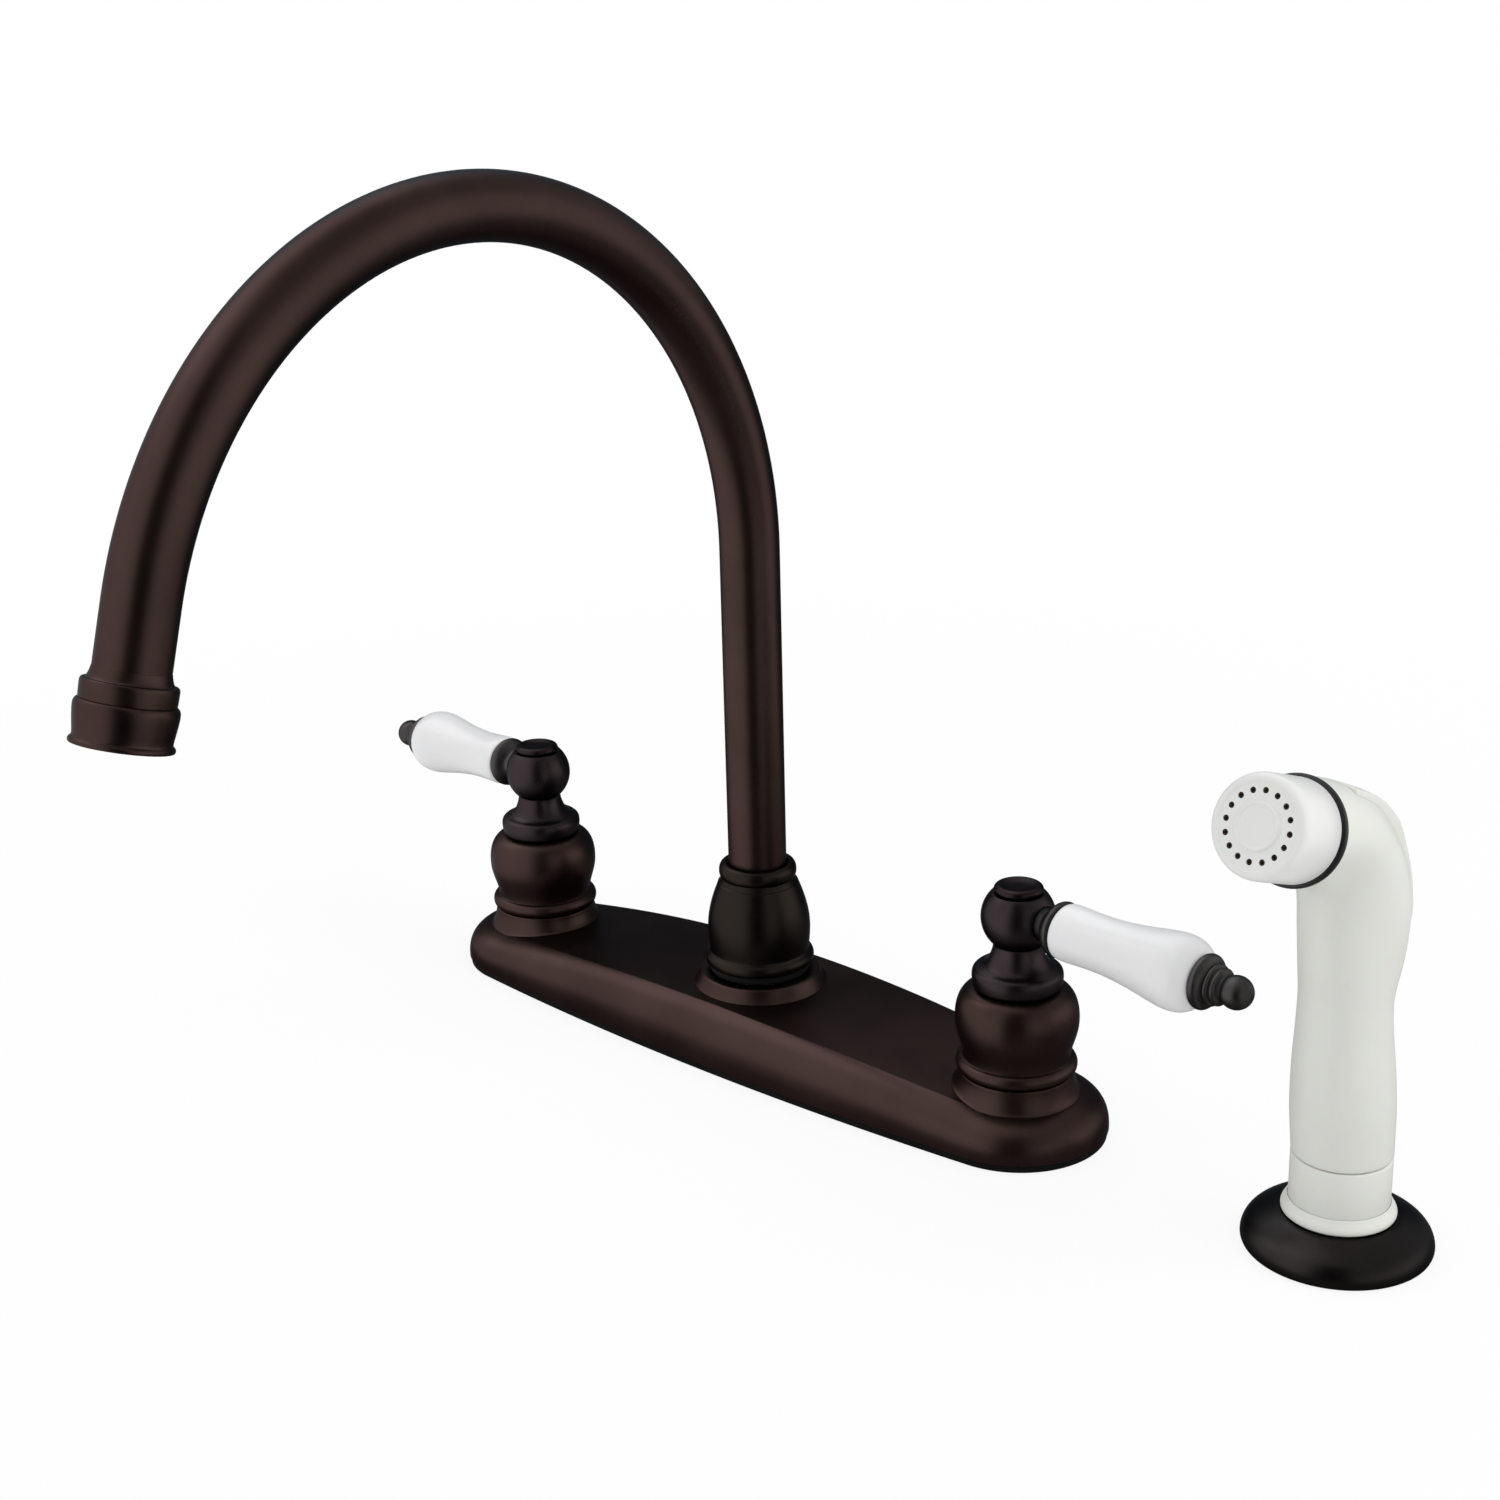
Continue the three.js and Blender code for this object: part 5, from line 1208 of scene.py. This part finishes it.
CAMERA_ANGLES = (42.76, 18.79, -1.50)  # yaw, pitch and roll, solved from the photo
CAMERA_PLACE = (0.46376, -0.50367, 0.33059)
CAMERA_LENS = 55.58
CAMERA_SENSOR = 36.0
STUDIO_LIGHT = 0.78
FLOOR_SIZE = 60.0
FLOOR_LEVEL = -0.0003
CARDS = (  # name, place, width, low, high, facing, tone
    ("front_card", (0.430, -0.500), 0.5, -0.3, 1.4, 108, (0.005, 0.005, 0.005)),
    ("back_card", (-0.11, 0.19), 0.7, -0.02, 0.27, -62, (0.09, 0.125, 0.145)),
)
LAMPS = (  # name, place, size, watts
    ("Key", (1.6, 0.5, 1.9), 1.6, 21.0),
    ("Fill", (-1.7, -1.3, 1.2), 1.4, 8.0),
)
LAMP_AIM = (0.05, 0, 0.1)


def camera():
    yaw, pitch, roll = (math.radians(v) for v in CAMERA_ANGLES)
    back = Vector((math.sin(yaw) * math.cos(pitch), -math.cos(yaw) * math.cos(pitch), math.sin(pitch)))
    right = Vector((math.cos(yaw), math.sin(yaw), 0))
    up = back.cross(right)
    x = math.cos(roll) * right + math.sin(roll) * up
    y = -math.sin(roll) * right + math.cos(roll) * up
    data = bpy.data.cameras.new("Camera")
    data.sensor_width = CAMERA_SENSOR
    data.sensor_height = CAMERA_SENSOR
    data.sensor_fit = "HORIZONTAL"
    data.lens = CAMERA_LENS
    data.clip_start = 0.01
    data.clip_end = 50.0
    eye = bpy.data.objects.new("Camera", data)
    bpy.context.scene.collection.objects.link(eye)
    eye.matrix_world = Matrix.Translation(CAMERA_PLACE) @ Matrix((x, y, back)).transposed().to_4x4()
    bpy.context.scene.camera = eye


def fresh_tree(owner):
    owner.use_nodes = True
    owner.node_tree.nodes.clear()
    return owner.node_tree


def emission(tree, tone):
    return made(tree, "Emission", {"Color": rgba(tone)})[0]


def mixed(tree, factor, a, b):
    return made(tree, "MixShader", {0: factor, 1: a, 2: b})[0]


def towards(tree, direction, azimuth, elevation):
    """How closely the ray's direction agrees with one in the room."""
    az, el = math.radians(azimuth), math.radians(elevation)
    target = (math.cos(el) * math.cos(az), math.cos(el) * math.sin(az), math.sin(el))
    return made(tree, "VectorMath", {0: direction, 1: target}, operation="DOT_PRODUCT")["Value"]


def distance_of(tree, x, y):
    squares = [times(tree, v, v) for v in (x, y)]
    return math_node(tree, "SQRT", plus(tree, *squares))


def dark_card(name, spot, width, low, high, facing, tone):
    """A dark board in the studio, seen only in the metal."""
    deselect()
    bpy.ops.mesh.primitive_plane_add(size=1.0, location=(0, 0, 0))
    card = named(name)
    edit_all()
    bpy.ops.transform.resize(value=(width, high - low, 1.0))
    bpy.ops.object.mode_set(mode="OBJECT")
    middle = Matrix.Translation((*spot, (low + high) / 2))
    card.matrix_world = middle @ about("Z", facing + 90) @ about("X", 90)
    material = bpy.data.materials.new(name)
    tree = fresh_tree(material)
    made(tree, "OutputMaterial", {"Surface": emission(tree, tone)})
    card.data.materials.append(material)
    card.visible_camera = False
    card.visible_diffuse = False
    card.visible_shadow = False
    card.visible_transmission = False


def studio_world(light):
    """A white ground for the camera, an even light, and a banded studio for the metal."""
    world = bpy.data.worlds.new("Studio")
    bpy.context.scene.world = world
    tree = fresh_tree(world)
    rays = made(tree, "LightPath")
    direction = made(tree, "TexCoord")["Generated"]
    height = made(tree, "SeparateXYZ", {0: direction})["Z"]
    low_left = ranged(tree, height, -1.0, -0.62, 0.30, 1.25)
    low_right = ranged(tree, height, -0.9, -0.1, 0.20, 0.80)
    on_left = ranged(tree, towards(tree, direction, -145, 10), -0.1, 0.7)
    behind = ranged(tree, towards(tree, direction, 133, 3), 0.64, 0.94, 1.0, 0.30)
    glow = ranged(tree, towards(tree, direction, 165, 40), 0.65, 0.95, 0.0, 1.05)
    glow = times(tree, glow, ranged(tree, height, 0.42, 0.62))
    right = ranged(tree, towards(tree, direction, 30, 5), 0.70, 0.98, 0.0, 0.42)
    above = ranged(tree, towards(tree, direction, 10, 60), 0.5, 0.95, 0.0, -0.30)
    seen = blended(tree, on_left, low_right, low_left, "FLOAT")
    seen = times(tree, seen, behind)
    for part in (glow, right, above):
        seen = plus(tree, seen, part)
    shown = blended(tree, rays["Is Glossy Ray"], light, seen, "FLOAT")
    clear = math_node(tree, "MAXIMUM", rays["Is Camera Ray"], rays["Is Transmission Ray"])
    depth = ranged(tree, behind, 0.30, 1.0, 1.0, 0.0)
    depth = times(tree, depth, rays["Is Glossy Ray"])
    cool = blended(tree, depth, (1, 1, 1, 1), (0.90, 1.24, 1.40, 1))
    strength = blended(tree, clear, shown, 1.0, "FLOAT")
    shade = made(tree, "Background", {"Color": cool, "Strength": strength})[0]
    made(tree, "OutputWorld", {"Surface": shade})


def floor():
    """A pale floor; the metal sees it dark near the faucet and not at all further off."""
    deselect()
    bpy.ops.mesh.primitive_plane_add(size=FLOOR_SIZE, location=(0, 0, FLOOR_LEVEL))
    sheet = named("floor")
    material = bpy.data.materials.new("Pale floor")
    tree = fresh_tree(material)
    rays = made(tree, "LightPath")
    spot = made(tree, "SeparateXYZ", {0: made(tree, "TexCoord")["Object"]})
    x, y = spot["X"], spot["Y"]
    lit = made(tree, "BsdfDiffuse", {"Color": (0.9, 0.9, 0.9, 1)})[0]
    share = ranged(tree, distance_of(tree, x, y), 0.3, 0.7, 0.88, 1.0)
    share = times(tree, rays["Is Camera Ray"], share)
    plain = mixed(tree, share, lit, emission(tree, (1, 1, 1)))
    across = math_node(tree, "SUBTRACT", math_node(tree, "ABSOLUTE", x), HALF * MM)
    off = distance_of(tree, math_node(tree, "MAXIMUM", across, 0.0), y)
    near_plate = ranged(tree, off, 0.045, 0.105, 1.0, 0.0)
    back = ranged(tree, y, 0.16, 0.26, 0.85, 0.0)
    back = times(tree, ranged(tree, y, 0.0, 0.04), back)
    off = distance_of(tree, math_node(tree, "SUBTRACT", x, SPRAY_PLACE[0] * MM), y)
    near_spray = ranged(tree, off, 0.028, 0.05, 1.0, 0.0)
    near = ranged(tree, off, 0.09, 0.15, 0.85, 0.0)
    for part in (near_spray, back, near_plate):
        near = math_node(tree, "MAXIMUM", near, part)
    clear = made(tree, "BsdfTransparent")[0]
    mirrored = mixed(tree, near, clear, emission(tree, (0.21, 0.195, 0.195)))
    seen = mixed(tree, rays["Is Glossy Ray"], plain, mirrored)
    made(tree, "OutputMaterial", {"Surface": seen})
    sheet.data.materials.append(material)


def lamp(name, spot, size, watts):
    data = bpy.data.lights.new(name, "AREA")
    data.shape = "RECTANGLE"
    data.size = size
    data.size_y = size
    data.energy = watts
    light = bpy.data.objects.new(name, data)
    bpy.context.scene.collection.objects.link(light)
    light.location = spot
    away = Vector(LAMP_AIM) - Vector(spot)
    light.rotation_euler = away.to_track_quat("-Z", "Y").to_euler()
    light.visible_glossy = False


# ------------------------------------------------------------ operators

class FAUCET_OT_finishes(bpy.types.Operator):
    """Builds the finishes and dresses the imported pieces"""

    bl_idname = "faucet.finishes"
    bl_label = "Finishes"

    def execute(self, context):
        make_finishes(context.scene.faucet_finishes)
        dress_kept_nodes()
        return {"FINISHED"}


class FAUCET_OT_deck_plate(bpy.types.Operator):
    """Models the cast deck plate with its flares and its gasket"""

    bl_idname = "faucet.deck_plate"
    bl_label = "Deck Plate"

    def execute(self, context):
        deck_plate()
        deck_gasket()
        return {"FINISHED"}


class FAUCET_OT_bonnets(bpy.types.Operator):
    """Turns the bell shaped bonnets over the cartridges"""

    bl_idname = "faucet.bonnets"
    bl_label = "Bonnets"

    def execute(self, context):
        bonnets()
        return {"FINISHED"}


class FAUCET_OT_hubs(bpy.types.Operator):
    """Turns the handle hubs and their caps"""

    bl_idname = "faucet.hubs"
    bl_label = "Handle Hubs"

    def execute(self, context):
        handle_hubs()
        return {"FINISHED"}


class FAUCET_OT_levers(bpy.types.Operator):
    """Turns the lever collars, the porcelain grips and the finials"""

    bl_idname = "faucet.levers"
    bl_label = "Levers"

    def execute(self, context):
        levers()
        return {"FINISHED"}


class FAUCET_OT_spout(bpy.types.Operator):
    """Bends the spout tube and turns its nut and outlet"""

    bl_idname = "faucet.spout"
    bl_label = "Spout"

    def execute(self, context):
        spout_tube(context.scene.faucet_sizes)
        spout_nut()
        spout_outlet()
        return {"FINISHED"}


class FAUCET_OT_spray_base(bpy.types.Operator):
    """Turns the spray's flange, guide and coupling"""

    bl_idname = "faucet.spray_base"
    bl_label = "Spray Base"

    def execute(self, context):
        spray_base()
        return {"FINISHED"}


class FAUCET_OT_spray(bpy.types.Operator):
    """Shapes the spray's handle, trigger, seal ring and nozzle"""

    bl_idname = "faucet.spray"
    bl_label = "Spray"

    def execute(self, context):
        spray_handle()
        trigger_pin()
        spray_head(context.scene.faucet_sizes)
        return {"FINISHED"}


class FAUCET_OT_fixings(bpy.types.Operator):
    """Makes the threaded casting, the nuts below the deck and the aerator"""

    bl_idname = "faucet.fixings"
    bl_label = "Fixings"

    def execute(self, context):
        waterway()
        mounting_nuts()
        spray_fittings()
        aerator()
        return {"FINISHED"}


class FAUCET_OT_stage(bpy.types.Operator):
    """Sets the camera, the floor, the lamps and the world"""

    bl_idname = "faucet.stage"
    bl_label = "Stage"

    def execute(self, context):
        context.scene.view_settings.view_transform = "Standard"
        camera()
        studio_world(STUDIO_LIGHT)
        floor()
        for card in CARDS:
            dark_card(*card)
        for light in LAMPS:
            lamp(*light)
        return {"FINISHED"}


class FAUCET_PT_panel(bpy.types.Panel):
    bl_label = "Faucet"
    bl_idname = "FAUCET_PT_panel"
    bl_space_type = "VIEW_3D"
    bl_region_type = "UI"
    bl_category = "Faucet"

    def draw(self, context):
        layout = self.layout
        finishes = context.scene.faucet_finishes
        sizes = context.scene.faucet_sizes
        for key in ("bronze", "bronze_roughness", "dark_bronze", "porcelain", "plastic"):
            layout.prop(finishes, key)
        for key in ("tube_radius", "tube_wall", "spray_holes", "hole_radius"):
            layout.prop(sizes, key)
        for operator in OPERATORS:
            layout.operator(operator.bl_idname)


OPERATORS = (
    FAUCET_OT_finishes,
    FAUCET_OT_deck_plate,
    FAUCET_OT_bonnets,
    FAUCET_OT_hubs,
    FAUCET_OT_levers,
    FAUCET_OT_spout,
    FAUCET_OT_spray_base,
    FAUCET_OT_spray,
    FAUCET_OT_fixings,
    FAUCET_OT_stage,
)
CLASSES = (FaucetFinishes, FaucetSizes) + OPERATORS + (FAUCET_PT_panel,)


def register():
    for cls in CLASSES:
        bpy.utils.register_class(cls)
    bpy.types.Scene.faucet_finishes = bpy.props.PointerProperty(type=FaucetFinishes)
    bpy.types.Scene.faucet_sizes = bpy.props.PointerProperty(type=FaucetSizes)


def unregister():
    del bpy.types.Scene.faucet_sizes
    del bpy.types.Scene.faucet_finishes
    for cls in reversed(CLASSES):
        bpy.utils.unregister_class(cls)


def main():
    register()
    bpy.ops.faucet.finishes()
    bpy.ops.faucet.deck_plate()
    bpy.ops.faucet.bonnets()
    bpy.ops.faucet.hubs()
    bpy.ops.faucet.levers()
    bpy.ops.faucet.spout()
    bpy.ops.faucet.spray_base()
    bpy.ops.faucet.spray()
    bpy.ops.faucet.fixings()
    bpy.ops.faucet.stage()


if __name__ == "__main__":
    main()
